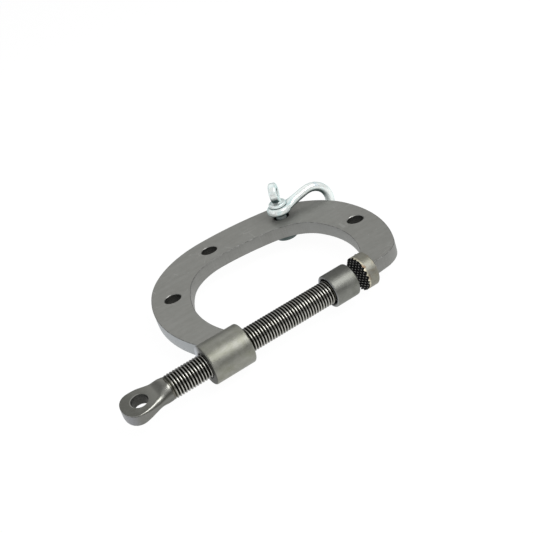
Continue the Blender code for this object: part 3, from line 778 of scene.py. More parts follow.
# ================================================================ C-frame plate
# Each edge starts at the foot: heading in degrees from +X, arcs are (radius, clockwise sweep).
OUTER_HEADING, INNER_HEADING = 107.5, 105.5
OUTER_EDGE = ((-168.7, 28.9), OUTER_HEADING, (
    (165.0, 45.1), (106.5, 59.9), (299.0, 16.3), (74.6, 37.8), (108.0, 29.1), (174.0, 40.0),
    (35.2, 53.0)))
INNER_EDGE = ((-137.7, 26.9), INNER_HEADING, (
    (123.4, 32.0), (150.5, 16.1), (61.3, 58.0), (256.0, 14.9), (51.4, 57.3), (118.6, 45.1),
    (17.0, 50.0)))
ARC_STEP = 1.5              # degrees
FOOT_Y = 12.0
PLATE_ROUND, ROUND_STEPS = 0.55, 3
HOLES = ((-144.3, 128.5), (-69.5, 184.5), (21.0, 172.3), (61.0, 83.0))
HOLE_R, HOLE_CHAMFER, HOLE_SEGMENTS = 9.0, 0.6, 72
FACE_SLOT, SIDE_SLOT, EDGE_SLOT, BORE_SLOT, CHAMFER_SLOT = range(5)


def arc_chain(edge, offset):
    """Points along a chain of tangent arcs, shifted to its left; also the last heading."""
    (x, y), degrees, arcs = edge
    heading = math.radians(degrees)
    points = []

    def add():
        points.append((x - offset * math.sin(heading), y + offset * math.cos(heading)))
    for radius, sweep in arcs:
        steps = max(3, round(sweep / ARC_STEP))
        turn = math.radians(sweep) / steps
        for _ in range(steps):
            add()
            chord = 2 * radius * math.sin(turn / 2)
            x += chord * math.cos(heading - turn / 2)
            y += chord * math.sin(heading - turn / 2)
            heading -= turn
    add()
    return points, heading


def plate_outline(inset=0.0, foot_y=FOOT_Y):
    """Closed outline from the outer foot, over the arch to the anvil, back along the throat."""
    on_edge, _ = arc_chain(INNER_EDGE, 0.0)
    outer, outer_heading = arc_chain(OUTER_EDGE, -inset)
    inner, inner_heading = arc_chain(INNER_EDGE, inset)
    # leave out throat points that fall beside the anvil
    inner = [point for point, (x, y) in zip(inner, on_edge)
             if x < 0 or x > ANVIL_X1 + 0.8 or y > 60]

    def to_foot(point, degrees):
        heading = math.radians(degrees)
        reach = (foot_y - point[1]) / math.sin(heading)
        return (point[0] + reach * math.cos(heading), foot_y)

    def to_anvil(point, heading):
        rise = (ANVIL_X1 - point[0]) / math.cos(heading) * math.sin(heading)
        return (ANVIL_X1, point[1] + rise)

    ends = [to_anvil(outer[-1], outer_heading), to_anvil(inner[-1], inner_heading)]
    return ([to_foot(outer[0], OUTER_HEADING)] + outer + ends + inner[::-1]
            + [to_foot(inner[0], INNER_HEADING)])


def plate_hole(shape, centre_x, centre_y):
    """Chamfered hole wall; returns its lowest and highest ring."""
    rings = []
    wide = HOLE_R + HOLE_CHAMFER
    for radius, z in ((wide, -HALF), (HOLE_R, -HALF + HOLE_CHAMFER),
                      (HOLE_R, HALF - HOLE_CHAMFER), (wide, HALF)):
        angles = [math.tau * j / HOLE_SEGMENTS for j in range(HOLE_SEGMENTS)]
        rings.append([shape.verts.new((centre_x + radius * math.cos(a),
                                       centre_y + radius * math.sin(a), z)) for a in angles])
    for k, (low, high) in enumerate(zip(rings, rings[1:])):
        for i in range(HOLE_SEGMENTS):
            j = (i + 1) % HOLE_SEGMENTS
            face = shape.faces.new((low[j], low[i], high[i], high[j]))
            face.material_index = BORE_SLOT if k == 1 else CHAMFER_SLOT
            face.smooth = True
    return rings[0], rings[-1]


def build_plate():
    levels = []             # (inset, z) of the rounded edge, lower half first
    for i in range(ROUND_STEPS + 1):
        a = math.pi / 2 * i / ROUND_STEPS
        levels.append((PLATE_ROUND * (1 - math.cos(math.pi / 2 - a)),
                       -(HALF - PLATE_ROUND + PLATE_ROUND * math.cos(a))))
    levels += [(inset, -z) for inset, z in reversed(levels)]
    shape = bmesh.new()
    rings = [[shape.verts.new((x, y, z)) for x, y in plate_outline(inset)]
             for inset, z in levels]
    for k, (low, high) in enumerate(zip(rings, rings[1:])):
        bridge(shape, low, high, slot=SIDE_SLOT if k == ROUND_STEPS else EDGE_SLOT)
    hole_rings = [plate_hole(shape, x, y) for x, y in HOLES]
    for side, ring in ((0, rings[0]), (1, rings[-1])):
        edges = []
        for loop in [ring] + [pair[side] for pair in hole_rings]:
            for i in range(len(loop)):
                edges.append(shape.edges.get((loop[i], loop[(i + 1) % len(loop)])))
        made = bmesh.ops.triangle_fill(
            shape, use_beauty=True, use_dissolve=False, edges=edges)
        for item in made["geom"]:
            if isinstance(item, bmesh.types.BMFace):
                item.material_index = FACE_SLOT
                item.smooth = False
    bmesh.ops.recalc_face_normals(shape, faces=shape.faces)
    plate = to_object("frame_plate", shape, [PLATE, CUT, EDGE, BORE, chamfer_material()])
    seat_r, x0, x1 = BOSS_R + 0.01, BOSS_X0 - 20, BOSS_X1 + 20
    cut(plate, revolve([(x0, 0), (x0, seat_r), (x1, seat_r), (x1, 0)], 128))
    for face in plate.data.polygons:
        if abs(face.normal.z) > 0.999:
            face.use_smooth = False
    assign(plate, "frame", "frame_steel", "c_frame")


build_plate()


# ================================================================ threads
PITCH = 3.0
# over one pitch: (share of the pitch, height from root 0 to crest 1)
THREAD_PROFILE = [
    (0.0, 1.0), (0.050, 0.993), (0.100, 0.968), (0.145, 0.920), (0.185, 0.845), (0.40, 0.14),
    (0.45, 0.03), (0.5, 0.0), (0.55, 0.03), (0.60, 0.14), (0.815, 0.845), (0.855, 0.920),
    (0.900, 0.968), (0.950, 0.993)]


def helix(x0, x1, root, crest, segments, fade, external=True, pitch=PITCH, runout=None):
    """Capped right-handed thread on X, with a crest at x = 0 at angle 0.

    It fades out over fade pitches at each end; runout is the radius it runs into at x0.
    """
    count = len(THREAD_PROFILE)
    shape = bmesh.new()
    first = (math.floor(x0 / pitch) - 2) * count
    last = (math.ceil(x1 / pitch) + 1) * count
    columns = []
    for j in range(segments):
        cosine, sine = math.cos(math.tau * j / segments), math.sin(math.tau * j / segments)
        column = []
        for k in range(first, last + 1):
            share, height = THREAD_PROFILE[k % count]
            x = pitch * (k // count + share + j / segments)
            full = clamp(min(x - x0, x1 - x) / (pitch * fade))
            if runout is not None and x < x0 + 4 * pitch:
                grown = clamp((x - x0) / (pitch * 2.2))
                top = runout + (crest - runout) * grown
                radius = top - (top - root) * (1 - height) * grown
            elif external:
                radius = root + (crest - root) * height * full
            else:
                radius = crest - (crest - root) * (1 - height) * full
            x = max(x0, min(x1, x))
            column.append(shape.verts.new((x, radius * cosine, radius * sine)))
        columns.append(column)
    rows = last - first + 1
    for j, column in enumerate(columns):
        # the last column meets the first one pitch further on
        following, shift = (columns[j + 1], 0) if j + 1 < segments else (columns[0], count)
        for k in range(rows - 1):
            if k + 1 + shift >= rows:
                continue
            a, b = column[k], column[k + 1]
            c, d = following[k + 1 + shift], following[k + shift]
            if all(abs(p.co.x - q.co.x) < 1e-9 for p, q in ((a, b), (c, d), (a, c))):
                continue
            shape.faces.new((a, b, c, d)).smooth = True
    join_doubles(shape)
    loose = [v for v in shape.verts if not v.link_faces]
    bmesh.ops.delete(shape, geom=loose, context="VERTS")
    open_edges = [e for e in shape.edges if len(e.link_faces) == 1]
    bmesh.ops.holes_fill(shape, edges=open_edges, sides=0)
    return shape


# ================================================================ boss
def build_boss():
    """Threaded sleeve under the plate's foot, with rounded ends and a countersunk bore."""
    corner, mouth_r = 1.7, 13.6
    profile = [(BOSS_X0, 0), (BOSS_X0, mouth_r)]
    profile += arc(BOSS_X0 + corner, BOSS_R - corner, corner, 180, 90)
    profile += arc(BOSS_X1 - corner, BOSS_R - corner, corner, 90, 0)
    profile += [(BOSS_X1, mouth_r), (BOSS_X1, 0)]
    boss = to_object("boss_sleeve", revolve(profile, 160), [BLAST, THREAD])
    plug = helix(BOSS_X0 - 2.0, BOSS_X1 + 2.0, root=10.6, crest=12.35, segments=60, fade=0.9,
                 external=False)
    for face in plug.faces:
        face.material_index = 1
    cut(boss, plug)
    for end, inward in ((BOSS_X0, 1), (BOSS_X1, -1)):
        outside, depth = end - inward * 0.5, end + inward * 1.7
        cut(boss, revolve([(outside, 0), (outside, 13.7), (depth, 11.5), (depth, 0)], 96))
    sharpen(boss, 32)
    assign(boss, "frame", "machined_steel", "nut_boss")


build_boss()


# ================================================================ weld beads
RIPPLE, RIPPLE_PITCH = 0.045, 1.7       # share of the leg, mm along the bead
BEAD_STEPS, BEAD_POWER = 9, 1.35        # steps across, roundness of the section


def build_bead(name, loop, stands_for):
    """Closed fillet bead; loop rows are (corner, along side A, along side B, leg A, leg B)."""
    shape = bmesh.new()
    travelled = 0.0
    rings = []
    previous = None
    for corner, along_a, along_b, leg_a, leg_b in loop:
        corner = Vector(corner)
        along_a, along_b = Vector(along_a).normalized(), Vector(along_b).normalized()
        if previous is not None:
            travelled += (corner - previous).length + 0.22
        previous = corner
        swell = (1 + RIPPLE * math.sin(math.tau * travelled / RIPPLE_PITCH)
                 + 0.07 * noise.noise(Vector((travelled * 0.35, 3.1, 7.7))))
        ring = [shape.verts.new(corner - (along_a + along_b) * 0.55)]
        for i in range(BEAD_STEPS + 1):
            a = math.radians(-9 + 108 * i / BEAD_STEPS)
            cosine, sine = math.cos(a), math.sin(a)
            size = 1.0 / (abs(cosine) ** BEAD_POWER + abs(sine) ** BEAD_POWER) ** (
                1 / BEAD_POWER)
            bulge = 1 + (swell - 1) * math.sin(math.radians(180 * i / BEAD_STEPS))
            offset = along_a * (cosine * leg_a * size) + along_b * (sine * leg_b * size)
            ring.append(shape.verts.new(corner + offset * bulge))
        rings.append(ring)
    for i, ring in enumerate(rings):
        bridge(shape, ring, rings[(i + 1) % len(rings)])
    assign(to_object(name, shape, [WELD], smooth=50), "frame", "weld_metal", stands_for)


def edge_line(first, second):
    """x as a function of y on the line through two outline points."""
    (ax, ay), (bx, by) = first, second
    return lambda y: ax + (bx - ax) * (y - ay) / (by - ay)


def direction(degrees):
    return Vector((math.cos(math.radians(degrees)), math.sin(math.radians(degrees)), 0))


def boss_weld_loop():
    """Round the plate's foot where it stands on the boss."""
    leg, inner_leg, outer_leg = 3.4, 1.7, 5.2
    face_steps, corner_steps, side_steps = 46, 8, 20
    outline = plate_outline(foot_y=0.0)
    outer_x = edge_line(outline[0], outline[1])
    inner_x = edge_line(outline[-1], outline[-2])

    def boss_y(z):
        return math.sqrt(BOSS_R ** 2 - z * z)
    face_y = boss_y(HALF)
    x_start, x_end = outer_x(face_y), inner_x(face_y)
    up = Vector((0, 1, 0))
    loop = []

    def add_face(side):
        for i in range(face_steps + 1):
            t = i / face_steps if side > 0 else 1 - i / face_steps
            out = Vector((0, -HALF / BOSS_R, side * face_y / BOSS_R))
            # the leg changes to the end's own over the last sixth
            foot_leg = (leg + (outer_leg - leg) * max(0, 1 - t * 6)
                        + (inner_leg - leg) * max(0, 1 - (1 - t) * 6))
            x = x_start + (x_end - x_start) * t
            loop.append(((x, face_y, side * HALF), up, out, leg, foot_leg * 0.95))

    def corner_rows(x, z_sign, x_sign, end_leg, end_up):
        rows = []
        for i in range(1, corner_steps):
            a = math.pi / 2 * i / corner_steps
            out = Vector((x_sign * math.sin(a), -HALF / BOSS_R * math.cos(a),
                          z_sign * math.cos(a)))
            rows.append(((x, face_y, z_sign * HALF), up.lerp(end_up, i / corner_steps), out,
                         leg, end_leg))
        return rows

    for sign, edge_x, x, end_leg, end_up in (
            (1, inner_x, x_end, inner_leg, direction(INNER_HEADING)),
            (-1, outer_x, x_start, outer_leg, direction(OUTER_HEADING))):
        add_face(sign)
        loop += corner_rows(x, sign, sign, end_leg, end_up)
        for i in range(side_steps + 1):
            z = sign * (HALF - PLATE_T * i / side_steps)
            y = boss_y(z)
            loop.append(((edge_x(y), y, z), end_up, (sign, 0, 0), leg, end_leg))
        loop += reversed(corner_rows(x, -sign, sign, end_leg, end_up))
    return loop


def anvil_weld_loop():
    """Round the plate's end where it meets the +X face of the anvil."""
    face_steps, corner_steps, end_steps = 30, 6, 16
    ys = sorted(y for x, y in plate_outline() if abs(x - ANVIL_X1) < 1e-6)
    low_y, high_y = ys[0], ys[-1]
    leg = 2.8
    top_leg = max(0.5, min(2.0, 14.6 - high_y))
    loop = []

    def add(y, z, out, out_leg):
        loop.append(((ANVIL_X1, y, z), Vector((1, 0, 0)), out, leg, out_leg))

    for sign, start_y, end_y, end_leg in ((1, low_y, high_y, top_leg), (-1, high_y, low_y, leg)):
        for i in range(face_steps + 1):
            add(start_y + (end_y - start_y) * i / face_steps, sign * HALF, (0, 0, sign), leg)
        for i in range(1, corner_steps):
            a = math.pi / 2 * i / corner_steps
            add(end_y, sign * HALF, (0, sign * math.sin(a), sign * math.cos(a)),
                leg + (end_leg - leg) * i / corner_steps)
        for i in range(end_steps + 1):
            add(end_y, sign * (HALF - PLATE_T * i / end_steps), (0, sign, 0), end_leg)
        for i in range(1, corner_steps):
            a = math.pi / 2 * (1 - i / corner_steps)
            add(end_y, -sign * HALF, (0, sign * math.sin(a), -sign * math.cos(a)),
                end_leg + (leg - end_leg) * i / corner_steps)
    return loop


build_bead("boss_weld_bead", boss_weld_loop(), "boss_weld")
build_bead("anvil_weld_bead", anvil_weld_loop(), "anvil_weld")


# ================================================================ anvil
TOOTH_ANGLES = (30.0, -60.0)
TOOTH_PITCH, TOOTH_LAND, TOOTH_DEPTH = 4.0, 0.70, 1.9
GROOVES_PER_SIDE = 5
GROOVE_REACH = 22           # half the groove length


def groove_cutter():
    """Row of V grooves along Z, sunk into the face at x = 0."""
    shape = bmesh.new()
    half_width = (TOOTH_PITCH - TOOTH_LAND) / 2
    half_pitch = TOOTH_PITCH / 2
    for i in range(-GROOVES_PER_SIDE, GROOVES_PER_SIDE + 1):
        y = (i + 0.5) * TOOTH_PITCH
        section = [
            (-0.3, y - half_pitch + 0.02), (0.0, y - half_width), (TOOTH_DEPTH, y - 0.08),
            (TOOTH_DEPTH, y + 0.08), (0.0, y + half_width), (-0.3, y + half_pitch - 0.02)]
        low, high = ([shape.verts.new((*point, z)) for point in section]
                     for z in (-GROOVE_REACH, GROOVE_REACH))
        shape.faces.new(low[::-1])
        shape.faces.new(high)
        bridge(shape, low, high, smooth=False)
    return shape


def build_anvil():
    corner = 1.3
    profile = [(0, 0), (0, ANVIL_R)]
    profile += arc(ANVIL_X1 - corner, ANVIL_R - corner, corner, 90, 0) + [(ANVIL_X1, 0)]
    anvil = to_object("anvil_jaw", revolve(profile, 144), [JAW])
    for degrees in TOOTH_ANGLES:
        cut(anvil, spin(groove_cutter(), degrees))
    sharpen(anvil, 30)
    assign(anvil, "frame", "tempered_jaw_steel", "anvil")


build_anvil()


# ================================================================ spindle
EYE_HALF_T = 10.2 / 2
EYE_DROP = 1.9              # extra thickness below the eye
EYE_END, EYE_WIDE = -260.9, -247.0      # x of the tip and of the widest place
EYE_POWER = 2.25            # roundness of the tip
EYE_GROW = 0.32             # width added for what the smoothing takes away
EYE_HALF_W = 16.4
EYE_HOLE_R = 8.1
NECK_R = 11.5

# (x, half width) from the widest place to the thread
EYE_FLANK = [
    (EYE_WIDE, EYE_HALF_W + EYE_GROW), (-241.0, EYE_HALF_W - 0.3 + EYE_GROW),
    (-235.5, EYE_HALF_W - 1.5 + EYE_GROW), (-230.0, 13.2 + EYE_GROW),
    (-225.5, NECK_R + 0.6 + EYE_GROW), (-221.0, NECK_R + 0.3), (-216.0, NECK_R + 0.1),
    (THREAD_X0 + 1.5, NECK_R)]
# (x, share of the rise from the eye's half thickness to the neck radius)
EYE_RISE = [(-229.5, 0.03), (-227.0, 0.13), (-224.0, 0.38), (-221.5, 0.63), (-219.5, 0.80),
            (-217.5, 0.92)]
# (x, corner radius of the section): the -y/+z and +y/-z pair, then +y/+z, then -y/-z
PAIR_CORNERS = [(-262, 0.5), (-252, 0.7), (-247, 1.3), (-242, 2.3), (-237, 3.3), (-232, 4.6),
                (-228, 6.0), (-224, 7.9), (-220, 9.8), (-215.5, NECK_R)]
UPPER_CORNER = [(-262, 0.4), (-240, 0.7), (-230, 1.4), (-225, 3.4), (-221, 6.4), (-217, 10.2),
                (-215, NECK_R)]
LOWER_CORNER = [(-256, 0.4), (-250, 0.8), (-246, 2.0), (-242, 3.8), (-237, 5.2), (-232, 5.8),
                (-228, 6.2), (-224, 6.8), (-221, 8.0), (-217, 10.2), (-215, NECK_R)]
# (x, scale) of the section where the neck enters the thread
NECK_TAPER = [(THREAD_X0 - 2.2, 1.0), (THREAD_X0 - 0.4, 0.965), (THREAD_X0 + 1.4, 0.86)]


def smooth_curve(points, steps=8):
    """Catmull-Rom curve through the points."""
    points = [points[0]] + list(points) + [points[-1]]
    curve = []
    for a, b, c, d in zip(points, points[1:], points[2:], points[3:]):
        for k in range(steps):
            t = k / steps
            curve.append(tuple(
                0.5 * (2 * b[n] + (c[n] - a[n]) * t
                       + (2 * a[n] - 5 * b[n] + 4 * c[n] - d[n]) * t * t
                       + (3 * b[n] - a[n] - 3 * c[n] + d[n]) * t ** 3) for n in (0, 1)))
    return curve + [tuple(points[-1])]


def value_at(x, table):
    return float(np.interp(x, *zip(*table)))


def eye_stations():
    """(x, half width) from the tip of the eye to the thread."""
    reach = EYE_WIDE - EYE_END + EYE_GROW
    stations = []
    for degrees in np.linspace(1.5, 90, 60):
        cosine = math.cos(math.radians(degrees))
        stations.append((EYE_WIDE - reach * cosine, (EYE_HALF_W + EYE_GROW)
                         * (1 - cosine ** EYE_POWER) ** (1 / EYE_POWER)))
    flank = smooth_curve(EYE_FLANK)
    step = 0.7
    return stations + [(x, value_at(x, flank))
                       for x in np.arange(EYE_WIDE + step, THREAD_X0 + 1.4, step)]


def eye_shape():
    """Rounded sections lofted from the flat eye into the round neck."""
    rise = NECK_R - EYE_HALF_T
    thickness = smooth_curve(
        [(x, EYE_HALF_T) for x in (EYE_END - 2, -238.0, -231.5)]
        + [(x, EYE_HALF_T + share * rise) for x, share in EYE_RISE]
        + [(-215.5, NECK_R), (THREAD_X0 + 1.5, NECK_R)])
    shape = bmesh.new()
    rings = []
    for x, width in eye_stations():
        above = value_at(x, thickness)
        below = above + EYE_DROP * clamp((-219.0 - x) / 10.0)
        pair = value_at(x, PAIR_CORNERS)
        upper = value_at(x, UPPER_CORNER)
        lower = value_at(x, LOWER_CORNER)
        scale = value_at(x, NECK_TAPER)
        ring = []
        for side_y, side_z, height, corner in (
                (1, 1, above, upper), (-1, 1, above, pair),
                (-1, -1, below, lower), (1, -1, below, pair)):
            corner_y, corner_z = min(corner, width * 0.998), min(corner, height * 0.998)
            for i in range(10):
                a = math.radians(90 * i / 9)
                a = a if side_y * side_z > 0 else math.pi / 2 - a
                y = width - corner_y + corner_y * math.cos(a)
                z = height - corner_z + corner_z * math.sin(a)
                ring.append(shape.verts.new((x, scale * side_y * y, scale * side_z * z)))
        rings.append(ring)
    loft(shape, rings)
    bmesh.ops.recalc_face_normals(shape, faces=shape.faces)
    return spin(shape, EYE_TURN)


def build_eye():
    eye = to_object("spindle_eye", eye_shape(), [FORGED])
    soften(eye, voxel=0.42, iterations=26)
    bottom, rim = -EYE_HALF_T - EYE_DROP, 0.25
    hole = revolve([
        (-15, 0, 1), (-15, 12, 1), (bottom - 0.01, EYE_HOLE_R + rim, 1),
        (bottom + rim, EYE_HOLE_R, 1), (EYE_HALF_T - rim, EYE_HOLE_R, 1),
        (EYE_HALF_T + 0.01, EYE_HOLE_R + rim, 1), (15, 12, 1), (15, 0, 1)], 96)
    cut(eye, spin(move(stand_up(hole), (EYE_X, 0, 0)), EYE_TURN))
    finish_soft(eye, 38, FORGED, EYE_BORE)
    turn = math.radians(EYE_TURN)
    axis = Vector((0, -math.sin(turn), math.cos(turn)))
    for face in eye.data.polygons:
        offset = (face.center / MM) - Vector((EYE_X, 0, 0))
        from_axis = (offset - axis * offset.dot(axis)).length
        face.material_index = 1 if from_axis < EYE_HOLE_R + 0.22 else 0
    assign(eye, "screw", "oiled_thread_steel", "spindle")


def build_spindle_thread():
    shape = helix(THREAD_X0 - 3.0, THREAD_X1, root=10.15, crest=12.1, segments=64, fade=0.9,
                  runout=NECK_R - 0.12)
    thread = to_object("spindle_thread", shape, [THREAD], smooth=60)
    assign(thread, "screw", "oiled_thread_steel")


def build_nose():
    """Plain end of the spindle: a neck, a collar and the cup for the ball."""
    neck_r, collar_r, collar_x = 9.0, 12.0, -27.2
    profile = [(THREAD_X1 - 2.0, 0), (THREAD_X1 - 2.0, neck_r), (-28.0, neck_r),
               (collar_x, 9.8), (collar_x, collar_r)]
    profile += arc(-26.8, collar_r, 0.4, 180, 90, steps=3)
    profile += arc(-23.2, 11.2, 1.2, 90, 0, steps=5)
    profile += ball_seat(side=-1, depth=2.5, steps=12)
    nose = to_object("spindle_nose", revolve(profile, 96), [THREAD], smooth=40)
    assign(nose, "screw", "oiled_thread_steel")


build_eye()
build_spindle_thread()
build_nose()


# ================================================================ swivel pad
def build_pad():
    """Cup over the spindle nose, open towards -X, with a ring groove and a ball seat."""
    corner, lip, bore_r, groove_r = 1.7, 1.1, 13.5, 14.8
    profile = [(PAD_X1, 0, 0), (PAD_X1, 6.0, 0), (PAD_X1, 11.0, 0)]
    profile += arc(PAD_X1 - corner, PAD_R - corner, corner, 0, 90)
    profile += arc(PAD_X0 + lip, PAD_R - lip, lip, 90, 180, steps=6)
    profile += [(PAD_X0, 14.5, 0), (PAD_X0 + 0.9, 13.55, 1), (-31.0, bore_r, 1),
                (-31.0, groove_r, 1), (-28.8, groove_r, 1), (-28.8, bore_r, 1),
                (-16.8, bore_r, 1)]
    profile += arc(-16.7, 12.3, 1.2, 90, 0, steps=5, slot=1)
    profile += ball_seat(side=1, depth=4.0, steps=10, slot=1)
    pad = to_object("pad_cup", revolve(profile, 144), [BLAST_PAD, BORE], smooth=32)
    assign(pad, "pad", "machined_steel", "swivel_pad")


build_pad()


# ================================================================ shackle
LIFT = 0.9                              # height of the shackle's middle above z = 0
PIN_AT = (*HOLES[2], LIFT)
BOW_TURN = -4.0                         # degrees about Z
EAR_Z, EAR_T, EAR_R, EAR_ROUND = 15.25, 9.3, 13.6, 3.6
EAR_OUT, EAR_IN = EAR_Z + EAR_T / 2, EAR_Z - EAR_T / 2
WIRE_R, BOW_R = 5.3, 22.2
BOW_CENTRE = 41.3                       # from the pin to the centre of the bow
LEAD = 12.0                             # straight part at each ear
WIRE_SEGMENTS = 32


def upright(profile, segments=72):
    """Revolved profile standing along Z; its x becomes z."""
    return stand_up(revolve(profile, segments))


def ear_disc(z):
    half = EAR_T / 2
    inner_r = EAR_R - EAR_ROUND
    profile = [(-half, 0)] + arc(-half + EAR_ROUND, inner_r, EAR_ROUND, 180, 90)
    profile += arc(half - EAR_ROUND, inner_r, EAR_ROUND, 90, 0) + [(half, 0)]
    return move(upright(profile), (0, 0, z))


def bow_path():
    """(u, z) points of the wire's centre, u along the bow: lead, straight leg, bow, mirrored."""
    reach = BOW_CENTRE - LEAD
    start = math.atan2(EAR_Z, -reach) - math.acos(BOW_R / math.hypot(reach, EAR_Z))
    path = [(2.0 + (LEAD - 2.0) * i / 6, EAR_Z) for i in range(7)]
    touch_u, touch_z = BOW_CENTRE + BOW_R * math.cos(start), BOW_R * math.sin(start)
    path += [(LEAD + (touch_u - LEAD) * i / 10, EAR_Z + (touch_z - EAR_Z) * i / 10)
             for i in range(1, 10)]
    for i in range(33):
        a = start - start * i / 32
        path.append((BOW_CENTRE + BOW_R * math.cos(a), BOW_R * math.sin(a)))
    points = np.array(path + [(u, -z) for u, z in reversed(path[:-1])])
    # soften the corner at the end of the lead
    for _ in range(10):
        points[1:-1] = (points[:-2] + 2 * points[1:-1] + points[2:]) / 4
    return points


def bow_sweep():
    """Wire swept along the path, flattening into the ears."""
    points = bow_path()
    shape = bmesh.new()
    rings = []
    for i, (u, z) in enumerate(points):
        before, after = points[max(0, i - 1)], points[min(len(points) - 1, i + 1)]
        tangent = Vector((after[0] - before[0], 0, after[1] - before[1])).normalized()
        side = Vector((0, 1, 0))
        normal = tangent.cross(side)
        flat = clamp((23.0 - u) / 18.0) if abs(z) > 8 else 0.0
        flat = flat * flat * (3 - 2 * flat)
        width = WIRE_R + 5.4 * flat
        height = WIRE_R - 0.9 * flat
        ring = []
        for j in range(WIRE_SEGMENTS):
            a = math.tau * j / WIRE_SEGMENTS
            ring.append(shape.verts.new(
                Vector((u, 0, z)) + side * (width * math.cos(a))
                + normal * (height * math.sin(a))))
        rings.append(ring)
    loft(shape, rings)
    return shape


def merge(parts):
    merged = bmesh.new()
    for part in parts:
        mesh = bpy.data.meshes.new("part")
        part.to_mesh(mesh)
        part.free()
        merged.from_mesh(mesh)
        bpy.data.meshes.remove(mesh)
    return merged


def build_bow():
    shape = merge([bow_sweep(), ear_disc(EAR_Z), ear_disc(-EAR_Z)])
    shape = move(spin(shape, BOW_TURN, "Z"), PIN_AT)
    bow = to_object("shackle_bow_forging", shape, [ZINC])
    soften(bow, voxel=0.55, iterations=12)
    # (z, radius) of the chamfered hole in the upper and in the lower ear
    upper_hole = [(5, 0), (5, 6.5), (EAR_IN - 0.05, 7.1), (EAR_IN + 0.6, 6.5),
                  (EAR_OUT - 0.6, 6.5), (EAR_OUT + 0.05, 7.1), (26, 9.0), (26, 0)]
    lower_hole = [(-26, 0), (-26, 9.0), (-EAR_OUT - 0.05, 6.9), (-EAR_OUT + 0.6, 6.3),
                  (-EAR_IN - 0.6, 6.3), (-EAR_IN + 0.05, 6.9), (-5, 6.9), (-5, 0)]
    for hole in (upper_hole, lower_hole):
        cut(bow, move(upright(hole, 64), PIN_AT))
    finish_soft(bow, 40, ZINC)
    assign(bow, "shackle", "zinc_plate", "shackle_bow")


# ================================================================ shackle pin
COLLAR_Z = EAR_OUT + 0.3
COLLAR_TOP = COLLAR_Z + 4.0
HEAD_Z = COLLAR_TOP + 11.7
HEAD_TURN = -36.5           # degrees about Z
SHANK_R, THREAD_ROOT_R = 5.9, 5.0


def build_pin_head():
    """Collar on the upper ear with a ring-shaped head standing on it."""
    profile = [(COLLAR_Z, 0), (COLLAR_Z, 9.3)]
    profile += arc(COLLAR_Z + 0.6, 9.3, 0.6, 180, 90, steps=3)
    profile += arc(COLLAR_TOP - 1.3, 8.6, 1.3, 90, 0, steps=6)
    profile += [(COLLAR_TOP + 0.2, 6.4), (COLLAR_TOP + 1.2, 5.4), (COLLAR_TOP + 5.5, 4.8),
                (COLLAR_TOP + 5.5, 0)]
    collar = move(upright(profile), PIN_AT)
    half, ring_r, hole_r, outer_round, inner_round = 4.2, 11.5, 4.1, 2.2, 1.0
    flat = half - inner_round
    inner_r, outer_r = hole_r + inner_round, ring_r - outer_round
    profile = [(-flat, hole_r), (flat, hole_r)]
    profile += arc(flat, inner_r, inner_round, 270, 360, steps=4)
    profile += arc(half - outer_round, outer_r, outer_round, 0, 90)
    profile += arc(-half + outer_round, outer_r, outer_round, 90, 180)
    profile += arc(-flat, inner_r, inner_round, 180, 270, steps=4)
    ring = spin(revolve(profile, 72, closed=True), HEAD_TURN, "Z")
    move(ring, (PIN_AT[0], PIN_AT[1], HEAD_Z + LIFT))
    head = to_object("shackle_pin_head", merge([collar, ring]), [ZINC])
    soften(head, voxel=0.36, iterations=3)
    finish_soft(head, 50, ZINC)
    assign(head, "pin", "zinc_plate", "shackle_pin")


def build_pin_shank():
    profile = [(-12.0, 0), (-12.0, THREAD_ROOT_R), (-11.2, THREAD_ROOT_R), (-10.4, 5.85),
               (COLLAR_Z - 1.4, SHANK_R), (COLLAR_Z - 0.6, 6.3), (COLLAR_Z + 1.0, 6.3),
               (COLLAR_Z + 1.0, 0)]
    shank = to_object("shackle_pin_shank", move(upright(profile), PIN_AT), [ZINC_SHANK])
    assign(shank, "pin", "zinc_plate")


def build_pin_thread():
    shape = helix(-22.6, -11.0, root=THREAD_ROOT_R, crest=SHANK_R, segments=48, fade=0.8,
                  pitch=1.75)
    shape = move(stand_up(shape), PIN_AT)
    thread = to_object("shackle_pin_thread", shape, [ZINC], smooth=60)
    assign(thread, "pin", "zinc_plate")


build_bow()
build_pin_head()
build_pin_shank()
build_pin_thread()

# these CAD nodes keep their shape and only get a material
for node_name, material in (("thrust_ball", BALL), ("pad_snap_ring", SPRING)):
    set_materials(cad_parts[node_name], material)


